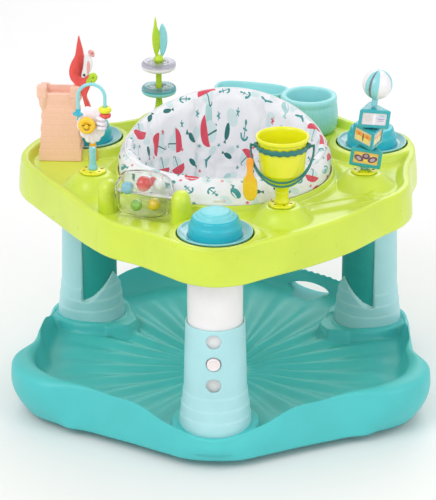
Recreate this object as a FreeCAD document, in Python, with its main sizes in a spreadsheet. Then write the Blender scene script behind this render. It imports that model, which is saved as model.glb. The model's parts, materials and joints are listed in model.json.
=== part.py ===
"""Activity jumper: a round-cornered saucer base, three telescoping legs, a bouncing toy tray
and a swivel seat.  Millimetres, +Z up, origin on the floor under the centre of the saucer.
The front leg stands towards -Y; the other two stand 120 degrees either side of it."""
import FreeCAD, Part
import Sketcher
import math
import os

V = FreeCAD.Vector
Z_AXIS = V(0, 0, 1)
LEGS = {"front": -90.0, "right": 30.0, "left": 150.0}
CORNERS = {"fore_right": -30.0, "rear": 90.0, "fore_left": -150.0}

DIMENSIONS = {
    # legs
    "leg_circle": 320.0, "tube_radius": 50.0, "tube_wall": 3.5, "tube_bottom": 75.0, "tube_top": 425.0,
    "tube_play": 0.4, "sleeve_foot_radius": 66.5, "sleeve_radius": 57.6, "sleeve_top_radius": 54.0,
    "sleeve_bottom": 22.0, "sleeve_top": 264.0, "step_low": 60.0, "step_one": 85.0, "step_two": 107.0,
    "step_three": 130.0, "hole_radius": 13.5, "hole_low": 157.5, "hole_pitch": 42.5, "button_radius": 12.3,
    "button_proud": 58.2, "button_back": 50.7, "groove_width": 30.0, "groove_floor": 46.0,
    "groove_top": 261.0, "spine_angle": 70.0, "spine_depth": 2.3, "arch_top": 160.0, "arch_side": 105.0,
    "flange_radius": 76.0, "flange_bottom": 366.0, "flange_top": 371.0, "spring_radius": 72.5,
    "spring_wire": 2.0, "spring_turns": 4.0, "dish_radius": 67.4, "dish_rim": 437.0, "dome_radius": 46.0,
    "dome_top": 475.0,
    # saucer
    "belly_radius": 110.0, "belly_cone_radius": 440.0, "belly_cone_height": 21.0, "floor_thickness": 5.0,
    "saucer_top": 108.0, "saucer_dip": 62.0, "saucer_taper": 0.975, "collar_radius": 80.0,
    "collar_top": 60.0, "nub_reach": 108.0, "nub_height": 45.0, "handle_angle": 63.0,
    "handle_length": 100.0, "handle_slot_low": 42.0, "handle_slot_high": 66.0,
    "foot_hinge_radius": 338.0, "foot_hinge_height": 24.0, "foot_length": 52.0, "foot_width": 90.0,
    "foot_thickness": 9.0, "foot_pin_radius": 2.5, "screw_radius": 2.0, "screw_spacing": 34.0,
    # tray
    "tray_top": 432.0, "tray_bottom": 364.0, "tray_wall": 4.5, "rim_width": 16.0, "deck_top": 417.0,
    "deck_thickness": 5.0, "seat_hole_radius": 200.0, "lip_wall": 5.0, "lip_top": 436.0,
    "lip_bottom": 400.0, "leg_hole_radius": 69.6, "boss_radius": 77.0, "mound_radius": 48.0,
    "mound_top_radius": 30.0, "mound_top": 443.0, "track_height": 6.0, "track_width": 12.0,
    # seat
    "ring_inner": 188.0, "ring_outer": 199.5, "ring_bottom": 409.4, "ring_top": 430.0,
    "seat_radius": 192.5, "seat_thickness": 11.0, "seat_bottom": 262.0, "seat_base_radius": 118.0,
    "seat_front": 450.0, "seat_back": 526.0, "leg_opening": 52.0,
    # toys
    "flange_toy_radius": 25.0, "flange_toy_height": 6.0, "castle_width": 84.0, "castle_waist": 66.0,
    "castle_flare": 80.0, "castle_bottom": 417.0, "castle_neck": 538.0, "castle_top": 568.0,
    "drum_radius": 43.0, "drum_end_radius": 31.0, "drum_length": 94.0, "drum_wall": 3.0,
    "drum_height": 460.0, "drum_angle": -20.0, "axle_radius": 3.0,
    "ring_toy_radius": 34.5, "ring_toy_thickness": 19.0, "cup_radius": 54.0, "cup_base_radius": 53.0,
    "cup_bottom": 417.0, "cup_top": 490.0, "cup_bore": 43.0, "dish_half_width": 36.0,
    "dish_half_length": 75.0, "dish_top": 486.0, "bucket_radius": 45.0, "bucket_rim": 576.0,
    "bucket_bottom": 480.0, "ball_radius": 28.0, "frame_width": 62.0, "frame_inradius": 17.9,
    "frame_circumradius": 35.8, "frame_height": 36.0, "frame_gap": 3.0, "bead_radius": 16.5,
    "arch_radius": 25.0, "arch_tube": 3.2, "arch_rise": 57.0, "pin_radius": 1.6, "hoop_half_width": 56.5,
    "hoop_depth": 75.0, "hoop_tube": 2.6, "peg_radius": 2.5, "peg_length": 16.5, "post_radius": 19.0,
    "post_offset": 72.0, "post_top": 477.0,
}

# Where each toy stands on the tray (x, y).
TOY_SPOTS = {"bead": (-243.0, -60.0), "rings": (-144.0, 258.0), "bucket": (114.0, -208.0),
             "spinner": (262.0, -32.0)}
CASTLE_SPOT = (-319.0, 94.0)
FIGURE_SPOT = (-257.0, 72.0)
DRUM_SPOT = (-134.0, -210.0)
# Offset along the drum, distance from its axis, angle round it and radius of each bead inside.
ROLLER_BEADS = [(-26, 20, 40, 12), (2, 22, 75, 14), (26, 20, 115, 11), (-14, 24, -80, 11), (16, 23, -110, 12)]
CUP_SPOT = (152.0, 268.0)
DISH_SPOT = (36.0, 317.0)
SPINNER_LEAN = 7.0
HANDLE_LEAN = -36.5
PEG_ROOT = (-53.3, -14.8, -20.0)
PEG_ANGLE = 255.0
FRAME_TURNS = {"low": -4.0, "middle": 71.0, "top": 12.0}

# Angle from a leg, outer radius and inner radius of the saucer's rim, over a sixth of the way round.
SAUCER_RIM = [(0, 406, 392), (14, 376, 362), (23, 366, 354), (33, 366, 354), (42, 375, 354),
              (50, 400, 360), (60, 412, 366)]
# Height of the rim against the distance along the wall from the middle of a leg.
SAUCER_DIP = [(52, 0.0), (88, 14.0), (137, 33.0), (190, 37.0), (240, 40.0), (262, 60.0)]
# Corners of the tray's outline, from the front leg round to the right and back.
TRAY_OUTLINE = [(0, -405), (48, -392), (88, -362), (176, -294), (246, -225), (298, -156), (336, -108),
                (353, -62), (353, -8), (356, 50), (366, 110), (361, 178), (340, 222), (296, 246),
                (242, 289), (181, 350), (98, 378), (10, 386), (-74, 367), (-138, 326), (-192, 281),
                (-256, 248), (-316, 236), (-354, 206), (-376, 160), (-394, 110), (-400, 62), (-388, 14),
                (-356, -42), (-312, -112), (-280, -166), (-238, -232), (-190, -290), (-132, -326),
                (-88, -362), (-48, -392)]

doc = FreeCAD.newDocument("activity_jumper")
sizes = doc.addObject("Spreadsheet::Sheet", "sizes")
for row, (word, number) in enumerate(DIMENSIONS.items(), start=1):
    sizes.set(f"A{row}", word)
    sizes.set(f"B{row}", str(number))
    sizes.setAlias(f"B{row}", word)
doc.recompute()

parts = {}


def amount(text):
    """Value of a sum such as 'tube_radius - tube_wall', read from the sheet."""
    total = 0.0
    for term in str(text).replace(" ", "").replace("-", "+-").split("+"):
        if term:
            name = term.lstrip("-")
            value = float(sizes.get(name)) if name in DIMENSIONS else float(name)
            total += -value if term[0] == "-" else value
    return total


def bound(text):
    """The same sum written as an expression on the sheet."""
    words = str(text).replace("-", " - ").replace("+", " + ").split()
    return " ".join("sizes." + word if word in DIMENSIONS else word for word in words)


def spot(x=0.0, y=0.0, z=0.0, angle=0.0, axis=Z_AXIS):
    return FreeCAD.Placement(V(x, y, z), FreeCAD.Rotation(axis, angle))


def leg_spot(angle):
    """Frame of a leg: local +X points away from the middle of the toy."""
    radius = amount("leg_circle")
    turn = math.radians(angle)
    return spot(radius * math.cos(turn), radius * math.sin(turn), 0.0, angle)


def primitive(kind, name, placement=None, **bindings):
    solid = doc.addObject("Part::" + kind, name)
    for prop, text in bindings.items():
        solid.setExpression(prop, bound(text))
    if placement:
        solid.Placement = placement
    return solid


def cylinder(name, radius, height, placement=None):
    return primitive("Cylinder", name, placement, Radius=radius, Height=height)


def cone(name, low, high, height, placement=None):
    return primitive("Cone", name, placement, Radius1=low, Radius2=high, Height=height)


def box(name, length, width, height, placement=None):
    return primitive("Box", name, placement, Length=length, Width=width, Height=height)


def ball(name, radius, placement=None):
    return primitive("Sphere", name, placement, Radius=radius)


def cut(name, base, tool, placement=None):
    result = doc.addObject("Part::Cut", name)
    result.Base = base
    result.Tool = tool
    if placement:
        result.Placement = placement
    return result


def join(name, kind, shapes, placement=None):
    result = doc.addObject("Part::" + kind, name)
    result.Shapes = shapes
    if placement:
        result.Placement = placement
    return result


def fuse(name, shapes, placement=None):
    return join(name, "MultiFuse", shapes, placement)


def common(name, shapes, placement=None):
    return join(name, "MultiCommon", shapes, placement)


def group(name, shapes):
    """Separate solids that share one node."""
    result = doc.addObject("Part::Compound", name)
    result.Links = shapes
    return result


def plain(name, shape, placement=None):
    """A shape that no feature makes directly."""
    result = doc.addObject("Part::Feature", name)
    result.Shape = shape
    if placement:
        result.Placement = placement
    return result


def keep(node, solid):
    solid.Label = node
    parts[node] = solid
    return solid


def origin_plane(body, role):
    return next(plane for plane in body.Origin.OriginFeatures if plane.Role == role)


def sketch_loop(body, role, corners):
    """A closed sketch of straight lines whose corners are bound to the sheet."""
    sketch = body.newObject("Sketcher::SketchObject", body.Name + "_sketch")
    sketch.AttachmentSupport = [(origin_plane(body, role), "")]
    sketch.MapMode = "FlatFace"
    points = [V(amount(across), amount(up), 0) for across, up in corners]
    last = len(points)
    for index in range(last):
        sketch.addGeometry(Part.LineSegment(points[index], points[(index + 1) % last]), False)
    for index in range(last):
        sketch.addConstraint(Sketcher.Constraint("Coincident", index, 2, (index + 1) % last, 1))
        across, up = corners[index]
        for word, text, value, axis in (("DistanceX", across, points[index].x, -2),
                                        ("DistanceY", up, points[index].y, -1)):
            if abs(value) < 1e-6:
                sketch.addConstraint(Sketcher.Constraint("PointOnObject", index, 1, axis))
                continue
            number = sketch.addConstraint(Sketcher.Constraint(word, -1, 1, index, 1, value))
            sketch.setExpression(f"Constraints[{number}]", bound(text))
    return sketch


def turned(name, corners, placement=None):
    """A body of revolution about its own Z axis; corners are (radius, height)."""
    body = doc.addObject("PartDesign::Body", name)
    sketch = sketch_loop(body, "XZ_Plane", corners)
    feature = body.newObject("PartDesign::Revolution", name + "_turn")
    feature.Profile = sketch
    feature.ReferenceAxis = (sketch, ["V_Axis"])
    feature.Angle = 360.0
    body.Tip = feature
    if placement:
        body.Placement = placement
    return body


def padded(name, corners, thickness, placement=None):
    """A flat plate with a straight-sided outline, thickness upwards."""
    body = doc.addObject("PartDesign::Body", name)
    sketch = sketch_loop(body, "XY_Plane", corners)
    feature = body.newObject("PartDesign::Pad", name + "_pad")
    feature.Profile = sketch
    feature.setExpression("Length", bound(thickness))
    body.Tip = feature
    if placement:
        body.Placement = placement
    return body


def smooth_loop(points, height, scale=1.0):
    curve = Part.BSplineCurve()
    curve.interpolate([V(x * scale, y * scale, height) for x, y in points], PeriodicFlag=True)
    return Part.Wire(curve.toShape())


def prism(points, low, high, scale_low=1.0, scale_high=1.0):
    """Solid between two scaled copies of a smooth outline."""
    return Part.makeLoft([smooth_loop(points, low, scale_low), smooth_loop(points, high, scale_high)],
                         True, True)


def round_block(profile):
    """Revolve (radius, height) corners about Z."""
    wire = Part.makePolygon([V(radius, 0, height) for radius, height in profile + profile[:1]])
    return Part.Face(wire).revolve(V(0, 0, 0), Z_AXIS, 360)


def saucer_points(column):
    """Rim points all the way round: column 1 is the outside, 2 the inside."""
    sixth = [(entry[0], entry[column]) for entry in SAUCER_RIM]
    third = sixth + [(120 - angle, radius) for angle, radius in sixth[-2:0:-1]]
    points = []
    for leg_angle in (-90.0, 30.0, 150.0):
        for angle, radius in third:
            turn = math.radians(leg_angle + angle)
            points.append((radius * math.cos(turn), radius * math.sin(turn)))
    return points


def turned_about_z(shape, angle):
    copy = shape.copy()
    copy.rotate(V(0, 0, 0), Z_AXIS, angle)
    return copy


def base_saucer():
    top = amount("saucer_top")
    belly = amount("belly_radius")
    far = amount("belly_cone_radius")
    rise = amount("belly_cone_height")
    skin = amount("floor_thickness")
    under = round_block([(0, 0), (belly, 0), (far, rise), (far, top + 1), (0, top + 1)])
    inside = round_block([(0, skin), (belly, skin), (far, rise + 3 * skin), (far, top + 9), (0, top + 9)])
    taper = amount("saucer_taper")
    outside = prism(saucer_points(1), 0, top, 1.0, taper).common(under)
    hollow = prism(saucer_points(2), 0, top + 8, taper, 1.0).common(inside)
    shell = outside.cut(hollow)
    radius = amount("leg_circle")
    collar = Part.makeCylinder(amount("collar_radius"), amount("collar_top"), V(radius, 0, 0))
    reach = radius - amount("nub_reach")
    half = amount("collar_radius") * 0.6
    nub_points = [V(reach, 0, 0), V(radius, -half, 0), V(radius, half, 0), V(reach, 0, 0)]
    nub = Part.Face(Part.makePolygon(nub_points)).extrude(V(0, 0, amount("nub_height")))
    raised = collar.fuse(nub)
    foot = foot_frame_block()
    low = amount("saucer_dip")
    side = [(along, low + lift) for along, lift in SAUCER_DIP]
    dip = [V(230, along, up) for along, up in side + [(side[-1][0], top + 20)]]
    dip = dip + [V(230, -point.y, point.z) for point in reversed(dip)]
    valley = Part.Face(Part.makePolygon(dip + dip[:1])).extrude(V(260, 0, 0))
    socket = Part.makeCylinder(amount("sleeve_foot_radius"), top, V(radius, 0, amount("sleeve_bottom")))
    for angle in LEGS.values():
        shell = shell.fuse(turned_about_z(raised, angle).common(under).common(outside))
    for angle in CORNERS.values():
        shell = shell.fuse(turned_about_z(foot, angle).common(outside))
    for angle in LEGS.values():
        shell = shell.cut(turned_about_z(valley, angle))
        shell = shell.cut(turned_about_z(socket, angle))
        for screw in screw_cylinders(clearance=0.2):
            shell = shell.cut(turned_about_z(screw, angle))
    for angle in CORNERS.values():
        shell = shell.cut(turned_about_z(foot_pocket(), angle))
        shell = shell.cut(turned_about_z(foot_pin_shape(), angle))
    slot_low = amount("handle_slot_low")
    slot = Part.makeBox(120, amount("handle_length"), amount("handle_slot_high") - slot_low,
                        V(320, -amount("handle_length") / 2, slot_low))
    shell = shell.cut(turned_about_z(slot, amount("handle_angle")))
    return keep("base_saucer", plain("base_saucer", shell.removeSplitter()))


def foot_frame_block():
    """Solid pad in the saucer's corner that houses a folded foot, corner along +X."""
    width = amount("foot_width") + 16
    start = amount("foot_hinge_radius") - 14
    return Part.makeBox(90, width, 32, V(start, -width / 2, amount("belly_cone_height") - 9))


def foot_pocket():
    width = amount("foot_width") + 2
    start = amount("foot_hinge_radius") - 7
    height = amount("foot_hinge_height") + 7
    return Part.makeBox(amount("foot_length") + 16, width, height, V(start, -width / 2, 0))


def foot_pin_shape():
    length = amount("foot_width") + 10
    return Part.makeCylinder(amount("foot_pin_radius"), length,
                             V(amount("foot_hinge_radius"), -length / 2, amount("foot_hinge_height")),
                             V(0, 1, 0))


def screw_cylinders(clearance=0.0):
    """Two screws under a leg, on the leg's radius along +X."""
    shapes = []
    for side in (-1, 1):
        place = V(amount("leg_circle"), side * amount("screw_spacing"), 0)
        shaft = Part.makeCylinder(amount("screw_radius") + clearance, 26, place + V(0, 0, 15))
        head = Part.makeCylinder(2 * amount("screw_radius") + clearance, 3 + clearance, place + V(0, 0, 15))
        if clearance:
            head = Part.makeCylinder(2 * amount("screw_radius") + clearance, 18, place)
        shapes.append(shaft.fuse(head))
    return shapes


def feet_and_fasteners():
    radius = amount("foot_hinge_radius")
    height = amount("foot_hinge_height")
    width = amount("foot_width")
    thick = amount("foot_thickness")
    paddle = Part.makeBox(amount("foot_length"), width, thick, V(radius, -width / 2, height - thick / 2))
    barrel = Part.makeCylinder(thick / 2, width, V(radius, -width / 2, height), V(0, 1, 0))
    bore = Part.makeCylinder(amount("foot_pin_radius") + 0.05, width, V(radius, -width / 2, height),
                             V(0, 1, 0))
    foot = paddle.fuse(barrel).cut(bore).removeSplitter()
    pins = []
    for corner, angle in CORNERS.items():
        keep("stabiliser_foot_" + corner, plain("foot_" + corner, turned_about_z(foot, angle)))
        pins.append(turned_about_z(foot_pin_shape(), angle))
    keep("foot_hinge_pins", plain("foot_pins", Part.makeCompound(pins)))
    screws = []
    for angle in LEGS.values():
        screws += [turned_about_z(screw, angle) for screw in screw_cylinders()]
    keep("base_screws", plain("base_screws", Part.makeCompound(screws)))


def sector(name, inner, outer, low, height, half_angle):
    """Part of a tube wall, centred on local -X."""
    ring = primitive("Cylinder", name + "_outer", spot(0, 0, amount(low), 180 - amount(half_angle)),
                     Radius=outer, Height=height, Angle=half_angle + "+" + half_angle)
    bore = cylinder(name + "_bore", inner, height + "+2", spot(0, 0, amount(low) - 1))
    return cut(name, ring, bore)


def leg_sleeve(name, angle):
    """Lower outer sleeve: stepped foot, three holes outside and an arched window inside."""
    wall = turned(f"sleeve_wall_{name}", [
        ("tube_radius + tube_play", "sleeve_bottom + 6"), ("tube_radius + tube_play", "sleeve_top"),
        ("sleeve_top_radius", "sleeve_top"), ("sleeve_radius", "step_three + 1"),
        ("sleeve_radius + 1.6", "step_three"), ("sleeve_radius + 3.2", "step_two"),
        ("sleeve_radius + 4.8", "step_two - 1"), ("sleeve_radius + 5.8", "step_one"),
        ("sleeve_radius + 7.2", "step_one - 1"), ("sleeve_foot_radius", "step_low"),
        ("sleeve_foot_radius", "sleeve_bottom"), ("0", "sleeve_bottom"), ("0", "sleeve_bottom + 6")])
    pocket = sector(f"spine_pocket_{name}", "tube_radius", "tube_radius + tube_play + spine_depth",
                    "step_low", "240", "spine_angle")
    window = padded(f"window_{name}", [
        ("-51", "arch_side"), ("0", "arch_top"), ("51", "arch_side"), ("60", "arch_side"),
        ("60", "sleeve_top + 20"), ("-60", "sleeve_top + 20"), ("-60", "arch_side")], "60",
        FreeCAD.Placement(V(-78, 0, 0), FreeCAD.Rotation(V(0, 1, 0), V(0, 0, 1), V(1, 0, 0), "ZXY")))
    holes = [cylinder(f"hole_{name}_{index}", "hole_radius", "40",
                      spot(35, 0, amount("hole_low") + index * amount("hole_pitch"), 90, V(0, 1, 0)))
             for index in range(3)]
    screws = [cylinder(f"screw_way_{name}_{side}", "screw_radius + 0.2", "30",
                       spot(0, side * amount("screw_spacing"), 12)) for side in (-1, 1)]
    tools = fuse(f"sleeve_tools_{name}", [pocket, window] + holes + screws)
    return keep("leg_sleeve_" + name, cut(f"leg_sleeve_{name}", wall, tools, leg_spot(angle)))


def leg_spine(name, angle):
    """Curved panel that closes the sleeve's window."""
    panel = sector(f"spine_panel_{name}", "tube_radius + tube_play",
                   "tube_radius + tube_play + spine_depth - 0.1", "step_low", "sleeve_top - step_low - 2",
                   "spine_angle - 0.4")
    panel.Placement = leg_spot(angle)
    return keep("leg_spine_" + name, panel)


def height_button(name, angle):
    cap = turned(f"button_{name}", [("0", "0"), ("button_radius", "0"),
                                    ("button_radius", "button_proud - button_back - 1.5"),
                                    ("button_radius - 1.5", "button_proud - button_back"),
                                    ("0", "button_proud - button_back")])
    height = amount("hole_low") + amount("hole_pitch")
    local = spot(amount("button_back"), 0, height, 90, V(0, 1, 0))
    cap.Placement = leg_spot(angle).multiply(local)
    return keep("height_button_" + name, cap)


def leg_tube(name, angle):
    """Inner tube with the flange that carries the bounce spring and a groove behind the button."""
    outside = turned(f"tube_outside_{name}", [
        ("0", "tube_bottom"), ("tube_radius", "tube_bottom"), ("tube_radius", "flange_bottom"),
        ("flange_radius", "flange_bottom"), ("flange_radius", "flange_top"),
        ("tube_radius", "flange_top"), ("tube_radius", "tube_top"), ("0", "tube_top")])
    bore = cylinder(f"tube_bore_{name}", "tube_radius - tube_wall", "400", spot(0, 0, 50))
    channel = box(f"tube_channel_{name}", "tube_radius - groove_floor + 12", "groove_width + 8", "400",
                  spot(amount("groove_floor") - 4, -amount("groove_width") / 2 - 4, 50))
    hollow = cut(f"tube_hollow_{name}", bore, channel)
    groove = box(f"tube_groove_{name}", "20", "groove_width", "groove_top - 50",
                 spot(amount("groove_floor"), -amount("groove_width") / 2, 50))
    removed = fuse(f"tube_removed_{name}", [hollow, groove])
    return keep("leg_tube_" + name, cut(f"leg_tube_{name}", outside, removed, leg_spot(angle)))


def leg_cap(name, angle):
    dish = turned(f"leg_dish_{name}", [
        ("dome_radius + 1", "tube_top + 1"), ("dish_radius - 4", "dish_rim - 6"),
        ("dish_radius", "dish_rim - 3"), ("dish_radius", "dish_rim"), ("dish_radius - 3", "dish_rim"),
        ("dome_radius + 1", "tube_top + 5")], leg_spot(angle))
    dome = turned(f"leg_dome_{name}", [
        ("0", "tube_top"), ("tube_radius", "tube_top"), ("tube_radius", "tube_top + 1"),
        ("dome_radius + 1", "tube_top + 1"), ("dome_radius + 1", "tube_top + 5"),
        ("dome_radius", "dome_top - 24"), ("dome_radius - 4", "dome_top - 17"),
        ("dome_radius - 6", "dome_top - 9"), ("dome_radius - 16", "dome_top - 5"),
        ("dome_radius - 26", "dome_top"), ("0", "dome_top")], leg_spot(angle))
    keep("leg_dish_" + name, dish)
    keep("leg_dome_" + name, dome)


def bounce_springs():
    """One coil spring round each leg, between its flange and the underside of the tray."""
    low = amount("flange_top") + amount("spring_wire")
    high = amount("deck_top") - amount("deck_thickness") - amount("spring_wire")
    radius = amount("spring_radius")
    helix = Part.makeHelix((high - low) / amount("spring_turns"), high - low, radius)
    sides = 8
    corners = [V(radius + amount("spring_wire") * math.cos(2 * math.pi * side / sides), 0,
                 amount("spring_wire") * math.sin(2 * math.pi * side / sides)) for side in range(sides)]
    section = Part.makePolygon(corners + corners[:1])
    coil = Part.Wire(helix).makePipeShell([section], True, True)
    coils = []
    for angle in LEGS.values():
        copy = coil.copy()
        copy.Placement = leg_spot(angle).multiply(spot(0, 0, low))
        coils.append(copy)
    keep("bounce_springs", plain("bounce_springs", Part.makeCompound(coils)))


def ring_shape(inner, outer, low, high, x=0.0, y=0.0):
    place = V(x, y, low)
    return Part.makeCylinder(outer, high - low, place).cut(Part.makeCylinder(inner, high - low, place))


def tray_shell():
    """Skirt, rolled rim, sunken deck, seat lip, leg bosses and toy mounds in one moulding."""
    top = amount("tray_top")
    bottom = amount("tray_bottom")
    deck = amount("deck_top")
    under = deck - amount("deck_thickness")
    body = prism(TRAY_OUTLINE, bottom, top, 1.0, 0.985)
    wall = 1 - amount("tray_wall") / 380
    rim = 1 - amount("rim_width") / 380
    body = body.cut(prism(TRAY_OUTLINE, bottom - 1, under, wall, wall * 0.988))
    body = body.cut(prism(TRAY_OUTLINE, deck, top + 1, rim * 0.985, rim * 0.988))
    lip_inner = amount("seat_hole_radius")
    body = body.fuse(ring_shape(lip_inner, lip_inner + amount("lip_wall"), amount("lip_bottom"),
                                amount("lip_top")))
    for x, y in TOY_SPOTS.values():
        mound = Part.makeCone(amount("mound_radius"), amount("mound_top_radius"),
                              amount("mound_top") - under, V(x, y, under))
        body = body.fuse(mound.common(prism(TRAY_OUTLINE, under, amount("mound_top"), 0.99, 0.975)))
    for shape in drum_posts():
        body = body.fuse(shape)
    for angle in LEGS.values():
        turn = math.radians(angle)
        x = amount("leg_circle") * math.cos(turn)
        y = amount("leg_circle") * math.sin(turn)
        boss = Part.makeCylinder(amount("boss_radius"), top - under, V(x, y, under))
        body = body.fuse(boss.common(prism(TRAY_OUTLINE, under, top, 0.995, 0.985)))
    body = body.fuse(drum_trough(outside=True))
    body = body.cut(drum_trough(outside=False))
    for angle in LEGS.values():
        turn = math.radians(angle)
        x = amount("leg_circle") * math.cos(turn)
        y = amount("leg_circle") * math.sin(turn)
        body = body.cut(Part.makeCylinder(amount("leg_hole_radius"), 90, V(x, y, under - 2)))
    body = body.cut(Part.makeCylinder(lip_inner, 200, V(0, 0, 300)))
    body = body.cut(drum_axle_hole())
    return keep("tray_shell", plain("tray_shell", body.removeSplitter()))


def drum_spot():
    return FreeCAD.Placement(V(DRUM_SPOT[0], DRUM_SPOT[1], amount("drum_height")),
                             FreeCAD.Rotation(Z_AXIS, amount("drum_angle")))


def drum_posts():
    """Two round-topped posts that carry the drum's axle."""
    shapes = []
    base = amount("deck_top") - amount("deck_thickness")
    radius = amount("post_radius")
    shoulder = amount("post_top") - radius
    for side in (-1, 1):
        centre = drum_spot().multVec(V(side * amount("post_offset"), 0, 0))
        post = Part.makeCylinder(radius, shoulder - base, V(centre.x, centre.y, base))
        tip = Part.makeSphere(radius, V(centre.x, centre.y, shoulder))
        shapes.append(post.fuse(tip))
    return shapes


def drum_axle_hole():
    length = amount("drum_length") + 36
    start = drum_spot().multVec(V(-length / 2, 0, 0))
    direction = drum_spot().Rotation.multVec(V(1, 0, 0))
    return Part.makeCylinder(amount("axle_radius"), length, start, direction)


def drum_trough(outside):
    """Pan under the drum, so that it can turn clear of the deck."""
    grow = 3.0 if outside else 0.0
    radius = amount("drum_radius") + 3 + grow
    length = amount("drum_length") + 6 + 2 * grow
    start = drum_spot().multVec(V(-length / 2, 0, 0))
    direction = drum_spot().Rotation.multVec(V(1, 0, 0))
    trough = Part.makeCylinder(radius, length, start, direction)
    if outside:
        low = amount("deck_top") - amount("deck_thickness") - 30
        keep_box = Part.makeBox(800, 800, amount("deck_top") - low, V(-400, -400, low))
        trough = trough.common(keep_box)
    return trough


def seat_parts():
    track = turned("seat_track_body", [
        ("seat_hole_radius - track_width", "lip_bottom + 3"), ("seat_hole_radius", "lip_bottom + 3"),
        ("seat_hole_radius", "lip_bottom + 3 + track_height"),
        ("seat_hole_radius - track_width", "lip_bottom + 3 + track_height")])
    keep("seat_track", track)
    ring = turned("seat_ring_body", [
        ("ring_inner", "ring_bottom"), ("ring_outer", "ring_bottom"), ("ring_outer", "ring_top"),
        ("ring_inner + 5", "ring_top"), ("ring_inner", "ring_top - 6")])
    keep("seat_ring", ring)
    skin = amount("seat_thickness")
    outer = amount("seat_radius")
    narrow = amount("ring_inner") - 0.5
    low = amount("seat_bottom")
    top = amount("seat_back") + 20
    base = amount("seat_base_radius")
    ring_low = amount("ring_bottom")
    ring_high = amount("ring_top")
    shell = round_block([(0, low), (base, low), (base + 45, low + 60), (narrow, ring_low - 20),
                         (narrow, ring_high + 1), (outer, ring_high + 4), (outer, top), (outer - skin, top),
                         (outer - skin, ring_high - 2), (narrow - skin, ring_low - 24),
                         (base + 45 - skin, low + 66), (base - skin, low + skin), (0, low + skin)])
    front = amount("seat_front")
    rise = amount("seat_back") - front
    slope = [V(-300, -outer, front), V(-300, outer, front + rise), V(-300, outer + 50, top + 50),
             V(-300, -outer - 50, top + 50), V(-300, -outer - 50, front)]
    shell = shell.cut(Part.Face(Part.makePolygon(slope + slope[:1])).extrude(V(600, 0, 0)))
    for side in (-1, 1):
        shell = shell.cut(Part.makeCylinder(amount("leg_opening"), 260, V(side * 62, -10, low - 20 + skin),
                                            V(side * 0.15, -0.75, 0.1)))
    keep("seat_fabric", plain("seat_fabric", shell.removeSplitter()))
    clips = []
    for index in range(6):
        angle = 30 + 60 * index
        clip = Part.makeBox(4, 20, 14, V(amount("ring_inner") + 5.5, -10, amount("ring_top")))
        clips.append(turned_about_z(clip, angle))
    keep("seat_clips", plain("seat_clips", Part.makeCompound(clips)))


def toy_base_rings():
    flanges = []
    for name, (x, y) in TOY_SPOTS.items():
        flanges.append(turned("flange_" + name, [
            ("0", "0"), ("flange_toy_radius", "0"), ("flange_toy_radius - 2", "4"),
            ("16", "flange_toy_height"),
            ("0", "flange_toy_height")], spot(x, y, amount("mound_top"))))
    keep("toy_base_rings", group("toy_base_rings", flanges))


def toy_level():
    return amount("mound_top") + amount("flange_toy_height")


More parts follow.
